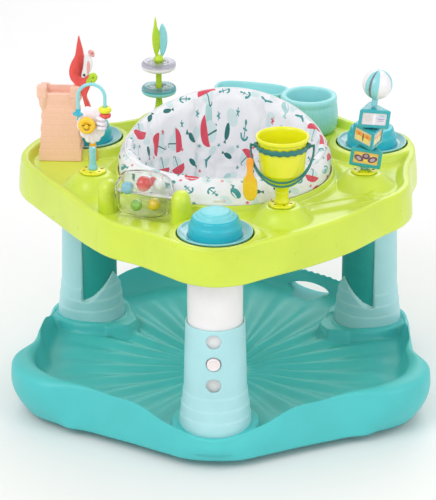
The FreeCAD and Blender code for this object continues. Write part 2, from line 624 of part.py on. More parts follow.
def castle_parts():
    x, y = CASTLE_SPOT
    body = doc.addObject("Part::Wedge", "castle_body")
    flare = doc.addObject("Part::Wedge", "castle_battlement")
    limits = ((body, "castle_width", "castle_waist", "castle_neck - castle_bottom"),
              (flare, "castle_waist", "castle_flare", "castle_top - castle_neck"))
    for wedge, low, high, height in limits:
        for end, text in (("", low), ("2", high)):
            for axis, share in (("X", 0.5), ("Z", 0.4)):
                wedge.setExpression(f"{axis}{end}min", f"{bound(text)} * {-share}")
                wedge.setExpression(f"{axis}{end}max", f"{bound(text)} * {share}")
        wedge.Ymin = 0
        wedge.setExpression("Ymax", bound(height))
    upright = FreeCAD.Rotation(V(1, 0, 0), 90)
    body.Placement = FreeCAD.Placement(V(0, 0, amount("castle_bottom")), upright)
    flare.Placement = FreeCAD.Placement(V(0, 0, amount("castle_neck")), upright)
    whole = fuse("castle_whole", [body, flare])
    edge = -amount("castle_waist") / 2
    well = box("castle_well", "castle_waist - 12", "castle_waist - 26", "60",
               spot(edge + 6, edge + 13, amount("castle_top") - 34))
    gaps = [box("castle_gap_front", "castle_waist - 22", "120", "20",
                spot(edge + 11, -60, amount("castle_top") - 10)),
            box("castle_gap_side", "120", "castle_waist - 38", "20",
                spot(-60, edge + 19, amount("castle_top") - 10))]
    column = leg_spot(LEGS["left"]).Base
    relief = cylinder("castle_relief", "boss_radius + 0.5", "300", spot(column.x - x, column.y - y, 380))
    keep("castle_tower", cut("castle_tower", whole, fuse("castle_tools", [well] + gaps + [relief]),
                             spot(x, y, 0)))
    figure_x, figure_y = FIGURE_SPOT
    foot = spot(figure_x, figure_y, amount("deck_top"))
    stalk = turned("figure_stalk_body", [
        ("0", "0"), ("9", "0"), ("8", "18"), ("5", "44"), ("4", "56"), ("0", "56")], foot)
    pieces = [stalk, box("stalk_yoke", "16", "7", "4", foot.multiply(spot(-8, -3.5, 55)))]
    pin_height = 61.8
    for side in (-1, 1):
        place = foot.multiply(spot(side * 6.8 - 1.2, -3.5, 56))
        pieces.append(box(f"stalk_ear_{side}", "2.4", "7", "9", place))
    pin = cylinder("stalk_pin", "pin_radius", "15", foot.multiply(spot(-7.5, 0, pin_height, 90, V(0, 1, 0))))
    keep("figure_stalk", fuse("figure_stalk_whole", pieces + [pin]))
    corners = [(-5, 60.3), (5, 60.3), (5, 66), (4, 90), (-5, 120), (-9, 136), (2, 150), (5, 172), (3, 196),
               (-8, 210), (-18, 230), (-22, 249), (-27, 228), (-34, 206), (-42, 186), (-40, 170),
               (-30, 158), (-19, 152), (-18, 136), (-13, 120), (-6, 90), (-5, 66)]
    flame = [V(across, 0, up) for across, up in corners]
    plate = Part.Face(Part.makePolygon(flame + flame[:1])).extrude(V(0, 9, 0))
    bore = Part.makeCylinder(amount("pin_radius") + 0.06, 60, V(-30, 4.5, pin_height), V(1, 0, 0))
    figure = spot(figure_x, figure_y - 4.5, amount("deck_top"))
    keep("flame_figure", plain("flame_figure", plate.cut(bore), figure))
    dots = []
    for across, height, radius in ((-12, 172, 6.0), (-3, 158, 5.0)):
        dot = Part.makeSphere(radius, V(across, 0, height))
        dots.append(dot.cut(Part.makeBox(80, 9, 300, V(-50, 0, 0))))
    keep("figure_beads", plain("figure_beads", Part.makeCompound(dots), figure))


def bead_toy_parts():
    x, y = TOY_SPOTS["bead"]
    level = toy_level()
    keep("bead_toy_stem", turned("bead_stem", [
        ("0", "0"), ("9", "0"), ("6.5", "8"), ("6.5", "44"), ("0", "44")], spot(x, y, level)))
    shell_radius = 33.0
    centre = level + 44 + 40
    scallops = 11
    outline = []
    for index in range(2 * scallops):
        turn = math.pi * index / scallops
        reach = shell_radius if index % 2 else shell_radius - 4
        outline.append(V(x + reach * math.sin(turn), y, centre - 1.18 * reach * math.cos(turn)))
    curve = Part.BSplineCurve()
    curve.interpolate(outline, PeriodicFlag=True)
    plate = Part.Face(Part.Wire(curve.toShape())).extrude(V(0, 14, 0))
    plate = plate.cut(Part.makeBox(80, 40, 30, V(x - 40, y - 10, level + 14)))
    rise = amount("arch_rise")
    ring = Part.makeTorus(amount("arch_radius"), amount("arch_tube"), V(x, y, centre + rise), V(0, 1, 0))
    arch = ring.common(Part.makeBox(90, 30, 60, V(x - 45, y - 15, centre + rise)))
    for side in (-1, 1):
        foot = V(x + side * amount("arch_radius"), y, centre + 10)
        arch = arch.fuse(Part.makeCylinder(amount("arch_tube"), rise - 10, foot))
    plate.translate(V(0, -7, 0))
    bead_rest = 27.0
    bead_way = Part.makeCylinder(12.5, 40, V(x + amount("arch_radius"), y, centre + bead_rest - 0.5))
    keep("bead_arch", plain("bead_arch", arch.removeSplitter()))
    keep("shell_panel", plain("shell_panel", plate.cut(arch).cut(bead_way)))
    pin_spot = FreeCAD.Placement(V(x - 8, y - 7, centre + 6), FreeCAD.Rotation(V(1, 0, 0), 90))
    keep("smile_bead_pin", turned("bead_pin", [
        ("0", "0"), ("3", "0"), ("3", "12"), ("5.5", "12"), ("5.5", "14"), ("0", "14")], pin_spot))
    disc = turned("bead_disc", [("3.05", "1"), ("bead_radius - 3", "1"), ("bead_radius", "4"),
                                ("bead_radius", "7"), ("bead_radius - 3", "11"), ("3.05", "11")], pin_spot)
    keep("smile_bead", disc)
    bead = turned("arch_bead_body", [
        ("arch_tube + 0.1", "0"), ("9", "0"), ("12", "4"), ("12", "8"), ("9", "12"),
        ("arch_tube + 0.1", "12")],
        spot(x + amount("arch_radius"), y, centre + bead_rest))
    keep("arch_bead", bead)


def ring_toy_parts():
    x, y = TOY_SPOTS["rings"]
    level = toy_level()
    keep("ring_toy_stem", turned("ring_stem", [
        ("0", "0"), ("12", "0"), ("7", "24"), ("6", "34"), ("6", "36"), ("10", "37"), ("10", "39.7"),
        ("6", "39.7"), ("6", "87"), ("10", "87"), ("10", "89.7"), ("6", "89.7"), ("6", "121"), ("0", "121")],
        spot(x, y, level)))
    for name, height in (("lower", 40.0), ("upper", 90.0)):
        ring = turned("ring_" + name, [
            ("6.4", "0"), ("ring_toy_radius - 5", "0"), ("ring_toy_radius", "4"), ("ring_toy_radius", "15"),
            ("ring_toy_radius - 5", "ring_toy_thickness"), ("12", "ring_toy_thickness - 3"), ("6.4", "10")],
            spot(x, y, level + height))
        keep("stacking_ring_" + name, ring)
    for name, side, lean in (("lime", -1, -8.0), ("blue", 1, 10.0)):
        curve = Part.BSplineCurve()
        curve.interpolate([V(0, 0, 0), V(13, 0, 26), V(10, 0, 54), V(0, 0, 80), V(-9, 0, 50), V(-12, 0, 24)],
                          PeriodicFlag=True)
        leaf = Part.Face(Part.Wire(curve.toShape())).extrude(V(0, side * 4.8, 0))
        leaf.translate(V(0, side * 0.1, 0))
        leaf.rotate(V(0, 0, 0), V(0, 0, 1), 38)
        leaf.translate(V(x, y, level + 125))
        keep("leaf_" + name, plain("leaf_" + name, leaf))


def bucket_parts():
    x, y = TOY_SPOTS["bucket"]
    keep("bucket_stem", turned("bucket_stem_body", [
        ("0", "0"), ("14", "0"), ("12", "8"), ("12", "18"), ("14", "31"), ("0", "31")],
        spot(x, y, toy_level())))
    bottom = amount("bucket_bottom")
    keep("toy_bucket", turned("toy_bucket_body", [
        ("0", "0"), ("17", "0"), ("31", "8"), ("39", "22"), ("42", "46"), ("43.5", "70"),
        ("bucket_radius", "bucket_rim - bucket_bottom - 6"),
        ("bucket_radius + 3", "bucket_rim - bucket_bottom - 5"),
        ("bucket_radius + 3", "bucket_rim - bucket_bottom"),
        ("bucket_radius - 1", "bucket_rim - bucket_bottom"),
        ("38", "44"), ("34", "24"), ("24", "14"), ("0", "12")], spot(x, y, bottom)))
    band = turned("band_body", [("44", "70"), ("46.5", "70"), ("46.5", "80"), ("45", "80")],
                  spot(x, y, bottom))
    height = bottom + 75
    sideways = V(0, 1, 0)
    ears = [cylinder("band_ear_right", "4.5", "5", spot(x + 45.5, y, height, 90, sideways)),
            cylinder("band_ear_left", "4.5", "5", spot(x - 50.5, y, height, 90, sideways)),
            cylinder("band_pin_right", "2", "13", spot(x + 45.5, y, height, 90, sideways)),
            cylinder("band_pin_left", "2", "13", spot(x - 58.5, y, height, 90, sideways))]
    solid_cup = cylinder("band_inside", "45.4", "40", spot(x, y, bottom + 60))
    keep("bucket_band", cut("bucket_band", fuse("band_whole", [band] + ears), solid_cup))
    half_width = amount("hoop_half_width")
    oval = Part.Ellipse(V(0, 0, -amount("hoop_depth")), V(half_width, 0, 0), V(0, 0, 0))
    path = Part.Wire(Part.ArcOfEllipse(oval, -math.pi / 2, math.pi / 2).toShape())
    start = path.Edges[0].valueAt(path.Edges[0].FirstParameter)
    sides = 12
    corners = []
    for side in range(sides + 1):
        turn = 2 * math.pi * side / sides
        corners.append(start + V(math.cos(turn), math.sin(turn), 0) * amount("hoop_tube"))
    hoop = path.makePipeShell([Part.makePolygon(corners)], True, False)
    for side in (-1, 1):
        hoop = hoop.fuse(Part.makeCylinder(5, 4.6, V(side * (half_width - 0.6) - 2.3, 0, 0), V(1, 0, 0)))
    hoop = hoop.cut(Part.makeCylinder(2.06, 140, V(-70, 0, 0), V(1, 0, 0)))
    hoop.Placement = FreeCAD.Placement(V(x, y, height), FreeCAD.Rotation(V(1, 0, 0), HANDLE_LEAN))
    root = V(x, y, height) + V(*PEG_ROOT)
    hang = FreeCAD.Placement(root, FreeCAD.Rotation(Z_AXIS, PEG_ANGLE))
    length = amount("peg_length")
    peg = Part.makeCylinder(amount("peg_radius"), length, V(0, 0, 0), V(1, 0, 0))
    peg.Placement = hang
    keep("bucket_handle", plain("bucket_handle", hoop.fuse(peg).removeSplitter()))
    outline = [V(0, 0, 7), V(6, 0, 4), V(7, 0, -2), V(6, 0, -24), V(14, 0, -34), V(14, 0, -62), V(0, 0, -76),
               V(-14, 0, -62), V(-14, 0, -34), V(-6, 0, -24), V(-7, 0, -2), V(-6, 0, 4)]
    curve = Part.BSplineCurve()
    curve.interpolate(outline, PeriodicFlag=True)
    blade = Part.Face(Part.Wire(curve.toShape())).extrude(V(0, 5, 0))
    blade = blade.cut(Part.makeCylinder(amount("peg_radius") + 0.06, 9, V(0, -2, 0), V(0, 1, 0)))
    keep("toy_shovel", plain("toy_shovel", blade, hang.multiply(spot(length - 1.5, 0, 0, 90))))


def spinner_parts():
    x, y = TOY_SPOTS["spinner"]
    base = FreeCAD.Placement(V(x, y, toy_level()), FreeCAD.Rotation(V(0, 1, 0), SPINNER_LEAN))
    stack = "frame_height + frame_height + frame_height"
    stem = turned("spinner_stem_body", [
        ("0", "2"), ("8", "2"), ("8", "8"), ("3", "8"), ("3", stack + " + 17"), ("6", stack + " + 17"),
        ("6", stack + " + 32"), ("0", stack + " + 32")], base)
    keep("spinner_stem", stem)
    half = amount("frame_width") / 2
    for index, (name, turn) in enumerate(FRAME_TURNS.items()):
        height = 8.5 + index * (amount("frame_height") + amount("frame_gap"))
        block = padded("frame_block_" + name, [
            (str(-half), "-frame_inradius"), (str(half), "-frame_inradius"), ("0", "frame_circumradius")],
            "frame_height")
        tools = [cylinder("frame_bore_" + name, "3.06", "frame_height + 2", spot(0, 0, -1))]
        for face in range(3):
            place = spot(angle=120 * face).multiply(spot(7 - half, -amount("frame_inradius") - 1, 7))
            tools.append(box(f"frame_recess_{name}_{face}", "frame_width - 14", "3",
                             "frame_height - 14", place))
        tools = fuse("frame_tools_" + name, tools)
        frame = cut("picture_frame_body_" + name, block, tools)
        frame.Placement = base.multiply(spot(0, 0, height, turn))
        keep("picture_frame_" + name, frame)
    height = amount(stack + " + 32") + 0.3
    globe = ball("beach_ball_globe", "ball_radius", spot(0, 0, amount("ball_radius") - 1))
    foot = box("beach_ball_flat", "80", "80", "20", spot(-40, -40, -20))
    keep("beach_ball", cut("beach_ball_body", globe, foot, base.multiply(spot(0, 0, height))))


def drum_parts():
    along = drum_spot().multiply(FreeCAD.Placement(V(-amount("drum_length") / 2, 0, 0),
                                                   FreeCAD.Rotation(V(0, 1, 0), 90)))
    keep("roller_drum", turned("roller_drum_body", [
        ("axle_radius + 0.06", "0"), ("drum_end_radius", "0"), ("drum_radius - 3", "14"),
        ("drum_radius", "32"), ("drum_radius", "drum_length - 32"), ("drum_radius - 3", "drum_length - 14"),
        ("drum_end_radius", "drum_length"), ("axle_radius + 0.06", "drum_length"),
        ("axle_radius + 0.06", "drum_length - drum_wall"), ("drum_end_radius - 1", "drum_length - drum_wall"),
        ("drum_radius - 6", "drum_length - 16"), ("drum_radius - drum_wall", "drum_length - 34"),
        ("drum_radius - drum_wall", "34"), ("drum_radius - 6", "16"), ("drum_end_radius - 1", "drum_wall"),
        ("axle_radius + 0.06", "drum_wall")], along))
    length = amount("drum_length") + 36
    axle = cylinder("roller_axle_body", "axle_radius", "drum_length + 36")
    axle.Placement = drum_spot().multiply(spot(-length / 2, 0, 0, 90, V(0, 1, 0)))
    keep("roller_axle", axle)
    beads = []
    for index, (offset, lift, swing, radius) in enumerate(ROLLER_BEADS):
        turn = math.radians(swing)
        bead = ball(f"roller_bead_{index}", str(radius))
        bead.Placement = drum_spot().multiply(spot(offset, -lift * math.cos(turn), lift * math.sin(turn)))
        beads.append(bead)
    keep("roller_beads", group("roller_beads", beads))


def snack_tray():
    """Fluted cup and long dish in one rear insert."""
    x, y = CUP_SPOT
    dish_x, dish_y = DISH_SPOT
    cup = cone("snack_cup", "cup_base_radius", "cup_radius", "cup_top - cup_bottom",
               spot(x, y, amount("cup_bottom")))
    cup_bore = cone("snack_cup_bore", "cup_bore - 6", "cup_bore + 1", "cup_top - cup_bottom",
                    spot(x, y, amount("cup_bottom") + 5))
    turn = -12.0
    frame = spot(dish_x, dish_y, 0, turn)
    pieces = []
    hollows = []
    for side in (-1, 1):
        offset = side * (amount("dish_half_length") - amount("dish_half_width"))
        pieces.append(cylinder(f"snack_end_{side}", "dish_half_width", "dish_top - cup_bottom",
                               frame.multiply(spot(offset, 0, amount("cup_bottom")))))
        hollows.append(cylinder(f"snack_end_hollow_{side}", "dish_half_width - 6", "dish_top - cup_bottom",
                                frame.multiply(spot(offset, 0, amount("cup_bottom") + 14))))
    length = "dish_half_length + dish_half_length - dish_half_width - dish_half_width"
    corner = amount("dish_half_length") - amount("dish_half_width")
    pieces.append(box("snack_middle", length, "dish_half_width + dish_half_width", "dish_top - cup_bottom",
                      frame.multiply(spot(-corner, -amount("dish_half_width"), amount("cup_bottom")))))
    floor = amount("cup_bottom") + 14
    hollows.append(box("snack_middle_hollow", length, "dish_half_width + dish_half_width - 12",
                       "dish_top - cup_bottom",
                       frame.multiply(spot(-corner, 6 - amount("dish_half_width"), floor))))
    whole = fuse("snack_whole", [cup] + pieces)
    keep("snack_tray", cut("snack_tray", whole, fuse("snack_hollows", [cup_bore] + hollows)))


base_saucer()
feet_and_fasteners()
for leg, leg_angle in LEGS.items():
    leg_sleeve(leg, leg_angle)
    leg_spine(leg, leg_angle)
    height_button(leg, leg_angle)
    leg_tube(leg, leg_angle)
    leg_cap(leg, leg_angle)
bounce_springs()
tray_shell()
seat_parts()
toy_base_rings()
castle_parts()
bead_toy_parts()
ring_toy_parts()
bucket_parts()
spinner_parts()
drum_parts()
snack_tray()
doc.recompute()

for item in doc.Objects:
    if "Invalid" in item.State or "Error" in item.State:
        raise SystemExit(f"{item.Name} failed: {item.State}")
os.makedirs("parts", exist_ok=True)
for node, solid in parts.items():
    shape = solid.Shape
    if shape.isNull() or not shape.isValid() or not shape.Solids:
        raise SystemExit(f"{node} has no valid solid")
    shape.exportStep(f"parts/{node}.step")
    print(node, len(shape.Solids), round(shape.Volume / 1000.0, 1))
print(len(parts), "nodes")
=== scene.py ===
"""Looks of the activity jumper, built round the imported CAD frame.  Metres, +Z up, front leg towards -Y."""
import json
import math
import random

import bmesh
import bpy
import numpy as np
from mathutils import Matrix, Vector


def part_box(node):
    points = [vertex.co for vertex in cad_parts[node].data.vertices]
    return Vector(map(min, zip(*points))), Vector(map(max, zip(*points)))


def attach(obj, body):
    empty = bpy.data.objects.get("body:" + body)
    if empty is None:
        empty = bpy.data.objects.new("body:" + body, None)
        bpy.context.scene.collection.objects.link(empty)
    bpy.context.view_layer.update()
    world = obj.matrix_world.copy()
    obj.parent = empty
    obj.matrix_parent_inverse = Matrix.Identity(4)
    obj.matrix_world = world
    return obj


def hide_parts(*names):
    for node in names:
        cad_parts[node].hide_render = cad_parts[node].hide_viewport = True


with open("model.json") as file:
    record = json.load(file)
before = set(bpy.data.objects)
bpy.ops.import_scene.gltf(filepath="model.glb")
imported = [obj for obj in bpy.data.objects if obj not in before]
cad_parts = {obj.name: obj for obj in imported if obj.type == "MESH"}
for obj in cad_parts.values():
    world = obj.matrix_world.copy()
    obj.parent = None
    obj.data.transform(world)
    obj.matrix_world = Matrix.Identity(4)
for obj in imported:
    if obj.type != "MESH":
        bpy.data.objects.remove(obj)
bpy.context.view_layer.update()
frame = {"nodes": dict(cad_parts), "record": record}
NODES = frame["nodes"]
BODY_OF = {node: body for body, nodes in frame["record"]["behaviour"]["bodies"].items() for node in nodes}
SLOT_OF = {entry["node"]: entry["material_slot"] for entry in frame["record"]["subparts"]}
LEGS = {"front": -90.0, "right": 30.0, "left": 150.0}
random.seed(11)
TAU = 2 * math.pi


def middle(node):
    low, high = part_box(node)
    return (low + high) / 2


def leg_axis(name):
    centre = middle("leg_dome_" + name)
    return Vector((centre.x, centre.y, 0))


LEG_SPOTS = {name: leg_axis(name) for name in LEGS}
LEG_CIRCLE = LEG_SPOTS["front"].length


# ---------------------------------------------------------------- shader building

class Shader:
    """A node material with short names for the nodes that the finishes share."""

    def __init__(self, name):
        self.material = bpy.data.materials.new(name)
        self.material.use_nodes = True
        self.tree = self.material.node_tree
        self.bsdf = self.tree.nodes["Principled BSDF"]
        self.out = self.tree.nodes["Material Output"]

    def node(self, kind, **settings):
        node = self.tree.nodes.new(kind)
        for key, value in settings.items():
            setattr(node, key, value)
        return node

    def link(self, source, target):
        self.tree.links.new(source, target)

    def feed(self, socket, value):
        if isinstance(value, bpy.types.NodeSocket):
            self.link(value, socket)
        else:
            socket.default_value = value

    def math(self, operation, *values):
        node = self.node("ShaderNodeMath", operation=operation)
        for socket, value in zip(node.inputs, values):
            self.feed(socket, value)
        return node.outputs[0]

    def vector(self, operation, *values):
        node = self.node("ShaderNodeVectorMath", operation=operation)
        for socket, value in zip(node.inputs, values):
            self.feed(socket, value)
        return node.outputs["Value"] if operation == "LENGTH" else node.outputs[0]

    def combine(self, x, y, z=0.0):
        node = self.node("ShaderNodeCombineXYZ")
        for socket, value in zip(node.inputs, (x, y, z)):
            self.feed(socket, value)
        return node.outputs[0]

    def split(self, vector):
        node = self.node("ShaderNodeSeparateXYZ")
        self.link(vector, node.inputs[0])
        return node.outputs

    def position(self):
        return self.node("ShaderNodeTexCoord").outputs["Object"]

    def uv(self):
        return self.node("ShaderNodeTexCoord").outputs["UV"]

    def noise(self, vector, scale, detail=2.0, roughness=0.5):
        node = self.node("ShaderNodeTexNoise")
        self.link(vector, node.inputs["Vector"])
        node.inputs["Scale"].default_value = scale
        node.inputs["Detail"].default_value = detail
        node.inputs["Roughness"].default_value = roughness
        return node.outputs["Fac"]

    def mix(self, factor, low, high):
        node = self.node("ShaderNodeMix", data_type="RGBA")
        self.feed(node.inputs["Factor"], factor)
        for socket, value in ((node.inputs[6], low), (node.inputs[7], high)):
            if isinstance(value, bpy.types.NodeSocket):
                self.link(value, socket)
            else:
                socket.default_value = (*value[:3], 1.0)
        return node.outputs[2]

    def ramp(self, value, low, high):
        node = self.node("ShaderNodeMapRange")
        self.link(value, node.inputs["Value"])
        node.inputs["From Min"].default_value = low
        node.inputs["From Max"].default_value = high
        return node.outputs[0]

    def bump(self, height, strength, distance, normal=None):
        node = self.node("ShaderNodeBump")
        self.link(height, node.inputs["Height"])
        node.inputs["Strength"].default_value = strength
        node.inputs["Distance"].default_value = distance
        if normal:
            self.link(normal, node.inputs["Normal"])
        return node.outputs["Normal"]


def tone(colour, gain):
    return tuple(min(1.0, channel * gain) for channel in colour)


def plastic(name, colour, rough=0.35, grain=0.06, coat=0.0, milky=0.0, spread=0.06):
    """Moulded plastic: slow tint changes, fine orange-peel grain, and a painted highlight on convex edges."""
    s = Shader(name)
    place = s.position()
    slow = s.noise(place, 9.0, 3.0)
    tint = s.mix(s.ramp(slow, 0.3, 0.7), tone(colour, 1 - spread), tone(colour, 1 + spread))
    # Paler colour on convex edges, broken up by noise: a painted highlight.
    edge = s.ramp(s.node("ShaderNodeNewGeometry").outputs["Pointiness"], 0.52, 0.62)
    edge_highlight = s.math("MULTIPLY", edge, s.ramp(s.noise(place, 60.0, 4.0), 0.4, 0.75))
    highlighted = s.mix(s.math("MULTIPLY", edge_highlight, 0.35), tint, tone(colour, 1.25))
    s.link(highlighted, s.bsdf.inputs["Base Color"])
    fine = s.noise(place, 700.0, 2.0)
    smear = s.noise(place, 26.0, 4.0, 0.6)
    roughness = s.math("ADD", s.math("MULTIPLY", smear, 0.16), rough - 0.08)
    s.link(roughness, s.bsdf.inputs["Roughness"])
    s.link(s.bump(fine, grain, 0.0006), s.bsdf.inputs["Normal"])
    s.bsdf.inputs["Coat Weight"].default_value = coat
    s.bsdf.inputs["Coat Roughness"].default_value = 0.12
    if milky:
        s.bsdf.inputs["Subsurface Weight"].default_value = milky
        s.bsdf.inputs["Subsurface Radius"].default_value = (0.012, 0.012, 0.010)
        s.bsdf.inputs["Subsurface Scale"].default_value = 0.6
    return s


FINISHES = {
    "saucer_teal": dict(colour=(0.070, 0.540, 0.545), rough=0.42, milky=0.08),
    "sleeve_aqua": dict(colour=(0.400, 0.700, 0.730), rough=0.40, milky=0.10),
    # The spine is the saucer's teal plastic; this darker teal is painted shade.
    "spine_teal": dict(colour=(0.020, 0.330, 0.300), rough=0.45),
    "tube_white": dict(colour=(0.80, 0.79, 0.79), rough=0.38, milky=0.10),
    "button_white": dict(colour=(0.82, 0.74, 0.74), rough=0.40, milky=0.15),
    "dish_aqua": dict(colour=(0.220, 0.560, 0.600), rough=0.16, coat=0.6, milky=0.2),
    "dome_turquoise": dict(colour=(0.015, 0.440, 0.540), rough=0.30, coat=0.2),
    "tray_lime": dict(colour=(0.600, 0.740, 0.055), rough=0.30, coat=0.25, milky=0.10),
    "track_white": dict(colour=(0.72, 0.72, 0.70), rough=0.5),
    "foot_teal": dict(colour=(0.050, 0.440, 0.450), rough=0.45),
    "steel": dict(colour=(0.45, 0.45, 0.46), rough=0.3),
    "toy_yellow": dict(colour=(0.780, 0.780, 0.010), rough=0.24, coat=0.35, milky=0.12),
    "toy_orange": dict(colour=(0.900, 0.420, 0.010), rough=0.30, coat=0.3, milky=0.12),
    "toy_peach": dict(colour=(0.850, 0.520, 0.400), rough=0.55, grain=0.25, milky=0.12),
    "toy_red": dict(colour=(0.760, 0.070, 0.060), rough=0.30, coat=0.3, milky=0.08),
    "toy_white": dict(colour=(0.84, 0.82, 0.84), rough=0.25, coat=0.4, milky=0.15),
    "toy_aqua": dict(colour=(0.180, 0.620, 0.680), rough=0.26, coat=0.35, milky=0.12),
    "toy_teal": dict(colour=(0.012, 0.340, 0.360), rough=0.28, coat=0.3),
    "toy_lime": dict(colour=(0.460, 0.680, 0.010), rough=0.28, coat=0.3, milky=0.12),
    "bead_mix": dict(colour=(0.70, 0.10, 0.08), rough=0.25, coat=0.4),
    "snack_aqua": dict(colour=(0.300, 0.680, 0.700), rough=0.34, milky=0.15),
}
MATERIALS = {name: plastic(name, **finish).material for name, finish in FINISHES.items()}


def extra_plastic(name, colour, **finish):
    if name not in MATERIALS:
        MATERIALS[name] = plastic(name, colour, **finish).material
    return MATERIALS[name]


def clear_material():
    s = Shader("drum_clear")
    s.bsdf.inputs["Base Color"].default_value = (0.96, 0.98, 0.96, 1)
    s.bsdf.inputs["Roughness"].default_value = 0.05
    s.bsdf.inputs["IOR"].default_value = 1.10
    s.bsdf.inputs["Transmission Weight"].default_value = 1.0
    s.bsdf.inputs["Coat Weight"].default_value = 0.6
    s.bsdf.inputs["Coat Roughness"].default_value = 0.06
    place = s.position()
    smear = s.noise(place, 50.0, 3.0)
    s.link(s.math("ADD", s.math("MULTIPLY", smear, 0.05), 0.0), s.bsdf.inputs["Roughness"])
    s.link(s.bump(s.noise(place, 40.0, 2.0), 0.08, 0.002), s.bsdf.inputs["Normal"])
    return s.material


MATERIALS["drum_clear"] = clear_material()


TOY_SHADES = {
    "patch_cloth": dict(colour=(0.74, 0.76, 0.80), rough=0.85, grain=0.6),
    "toy_sky": dict(colour=(0.260, 0.640, 0.690), rough=0.26, coat=0.35, milky=0.15),
    "toy_blue": dict(colour=(0.020, 0.420, 0.560), rough=0.28, coat=0.3),
    "toy_pearl": dict(colour=(0.860, 0.790, 0.860), rough=0.22, coat=0.5, milky=0.25),
    "toy_pink": dict(colour=(0.800, 0.360, 0.330), rough=0.3, coat=0.3),
    "toy_sun": dict(colour=(0.920, 0.560, 0.020), rough=0.28, coat=0.35, milky=0.12),
    "toy_dark": dict(colour=(0.012, 0.014, 0.018), rough=0.4),
    # Darkened yellow for the toy-ring slits: painted shade.
    "slit_painted_shade": dict(colour=(0.240, 0.230, 0.010), rough=0.5),
    "ring_stripe": dict(colour=(0.010, 0.380, 0.430), rough=0.3, coat=0.3),
    "ring_lilac": dict(colour=(0.560, 0.530, 0.660), rough=0.3, coat=0.3),
    "band_green": dict(colour=(0.006, 0.170, 0.150), rough=0.3, coat=0.3),
    "band_grey": dict(colour=(0.170, 0.190, 0.210), rough=0.4),
    "bucket_lower": dict(colour=(0.560, 0.690, 0.010), rough=0.26, coat=0.35, milky=0.12),
    "frame_teal": dict(colour=(0.020, 0.380, 0.430), rough=0.28, coat=0.35),
    "bead_sky": dict(colour=(0.240, 0.560, 0.700), rough=0.2, coat=0.6),
    "bead_red": dict(colour=(0.760, 0.040, 0.040), rough=0.15, coat=0.8),
    "bead_white": dict(colour=(0.820, 0.840, 0.850), rough=0.2, coat=0.6),
    "bead_yellow": dict(colour=(0.860, 0.620, 0.030), rough=0.2, coat=0.6),
    "bead_green": dict(colour=(0.300, 0.600, 0.120), rough=0.2, coat=0.6),
}
for shade, finish in TOY_SHADES.items():
    MATERIALS[shade] = plastic(shade, **finish).material


def two_tone(name, top, bottom, low, high, rough=0.28):
    """Plastic whose colour slides from bottom to top between two heights."""
    s = Shader(name)
    place = s.position()
    share = s.ramp(s.split(place)[2], low, high)
    base = s.mix(share, bottom, top)
    s.link(s.mix(s.math("MULTIPLY", s.noise(place, 12.0, 3.0), 0.18), base, top), s.bsdf.inputs["Base Color"])
    s.link(s.math("ADD", s.math("MULTIPLY", s.noise(place, 30.0, 3.0), 0.12), rough - 0.06),
           s.bsdf.inputs["Roughness"])
    s.link(s.bump(s.noise(place, 700.0), 0.06, 0.0006), s.bsdf.inputs["Normal"])
    s.bsdf.inputs["Coat Weight"].default_value = 0.35
    s.bsdf.inputs["Coat Roughness"].default_value = 0.12
    s.bsdf.inputs["Subsurface Weight"].default_value = 0.12
    s.bsdf.inputs["Subsurface Radius"].default_value = (0.012, 0.012, 0.010)
    s.bsdf.inputs["Subsurface Scale"].default_value = 0.6
    return s.material


def ring_clear_material():
    s = Shader("ring_clear")
    s.bsdf.inputs["Base Color"].default_value = (0.93, 0.95, 0.97, 1)
    s.bsdf.inputs["IOR"].default_value = 1.20
    s.bsdf.inputs["Transmission Weight"].default_value = 0.92
    s.bsdf.inputs["Coat Weight"].default_value = 0.5
    place = s.position()
    s.link(s.math("MULTIPLY", s.noise(place, 60.0, 3.0), 0.12), s.bsdf.inputs["Roughness"])
    s.link(s.bump(s.noise(place, 300.0), 0.08, 0.0006), s.bsdf.inputs["Normal"])
    return s.material


MATERIALS["ring_clear"] = ring_clear_material()
MATERIALS["shovel_orange"] = two_tone("shovel_orange", (0.93, 0.30, 0.010), (0.93, 0.62, 0.010), 0.490, 0.540)


# ---------------------------------------------------------------- mesh building

def make_object(name, points, faces, material=None, smooth=True):
    mesh = bpy.data.meshes.new(name)
    mesh.from_pydata([tuple(point) for point in points], [], faces)
    mesh.validate()
    piece = bpy.data.objects.new(name, mesh)
    bpy.context.collection.objects.link(piece)
    tidy = bmesh.new()
    tidy.from_mesh(mesh)
    bmesh.ops.remove_doubles(tidy, verts=tidy.verts, dist=1e-6)
    bmesh.ops.recalc_face_normals(tidy, faces=tidy.faces)
    tidy.to_mesh(mesh)
    tidy.free()
    if smooth:
        mesh.shade_smooth()
    if material:
        mesh.materials.append(material)
    return piece


def settle(piece, body, *nodes, slot=None):
    """Ride and replace in one go; slot is not used."""
    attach(piece, body)
    if nodes:
        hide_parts(*nodes)
    return piece


def apply_modifiers(piece):
    graph = bpy.context.evaluated_depsgraph_get()
    mesh = bpy.data.meshes.new_from_object(piece.evaluated_get(graph))
    old = piece.data
    piece.modifiers.clear()
    piece.data = mesh
    bpy.data.meshes.remove(old)
    return piece


def weighted(piece):
    """Clean shading on flat faces next to rounded edges."""
    piece.modifiers.new("normals", "WEIGHTED_NORMAL").keep_sharp = True
    return piece


def subdivided(piece, levels=1):
    modifier = piece.modifiers.new("subdivision", "SUBSURF")
    modifier.levels = levels
    modifier.render_levels = levels
    return apply_modifiers(piece)


def ring_faces(rows, around, closed=False):
    faces = []
    span = rows if closed else rows - 1
    for row in range(span):
        for index in range(around):
            after = (index + 1) % around
            below = (row + 1) % rows
            faces.append((row * around + index, row * around + after,
                          below * around + after, below * around + index))
    return faces


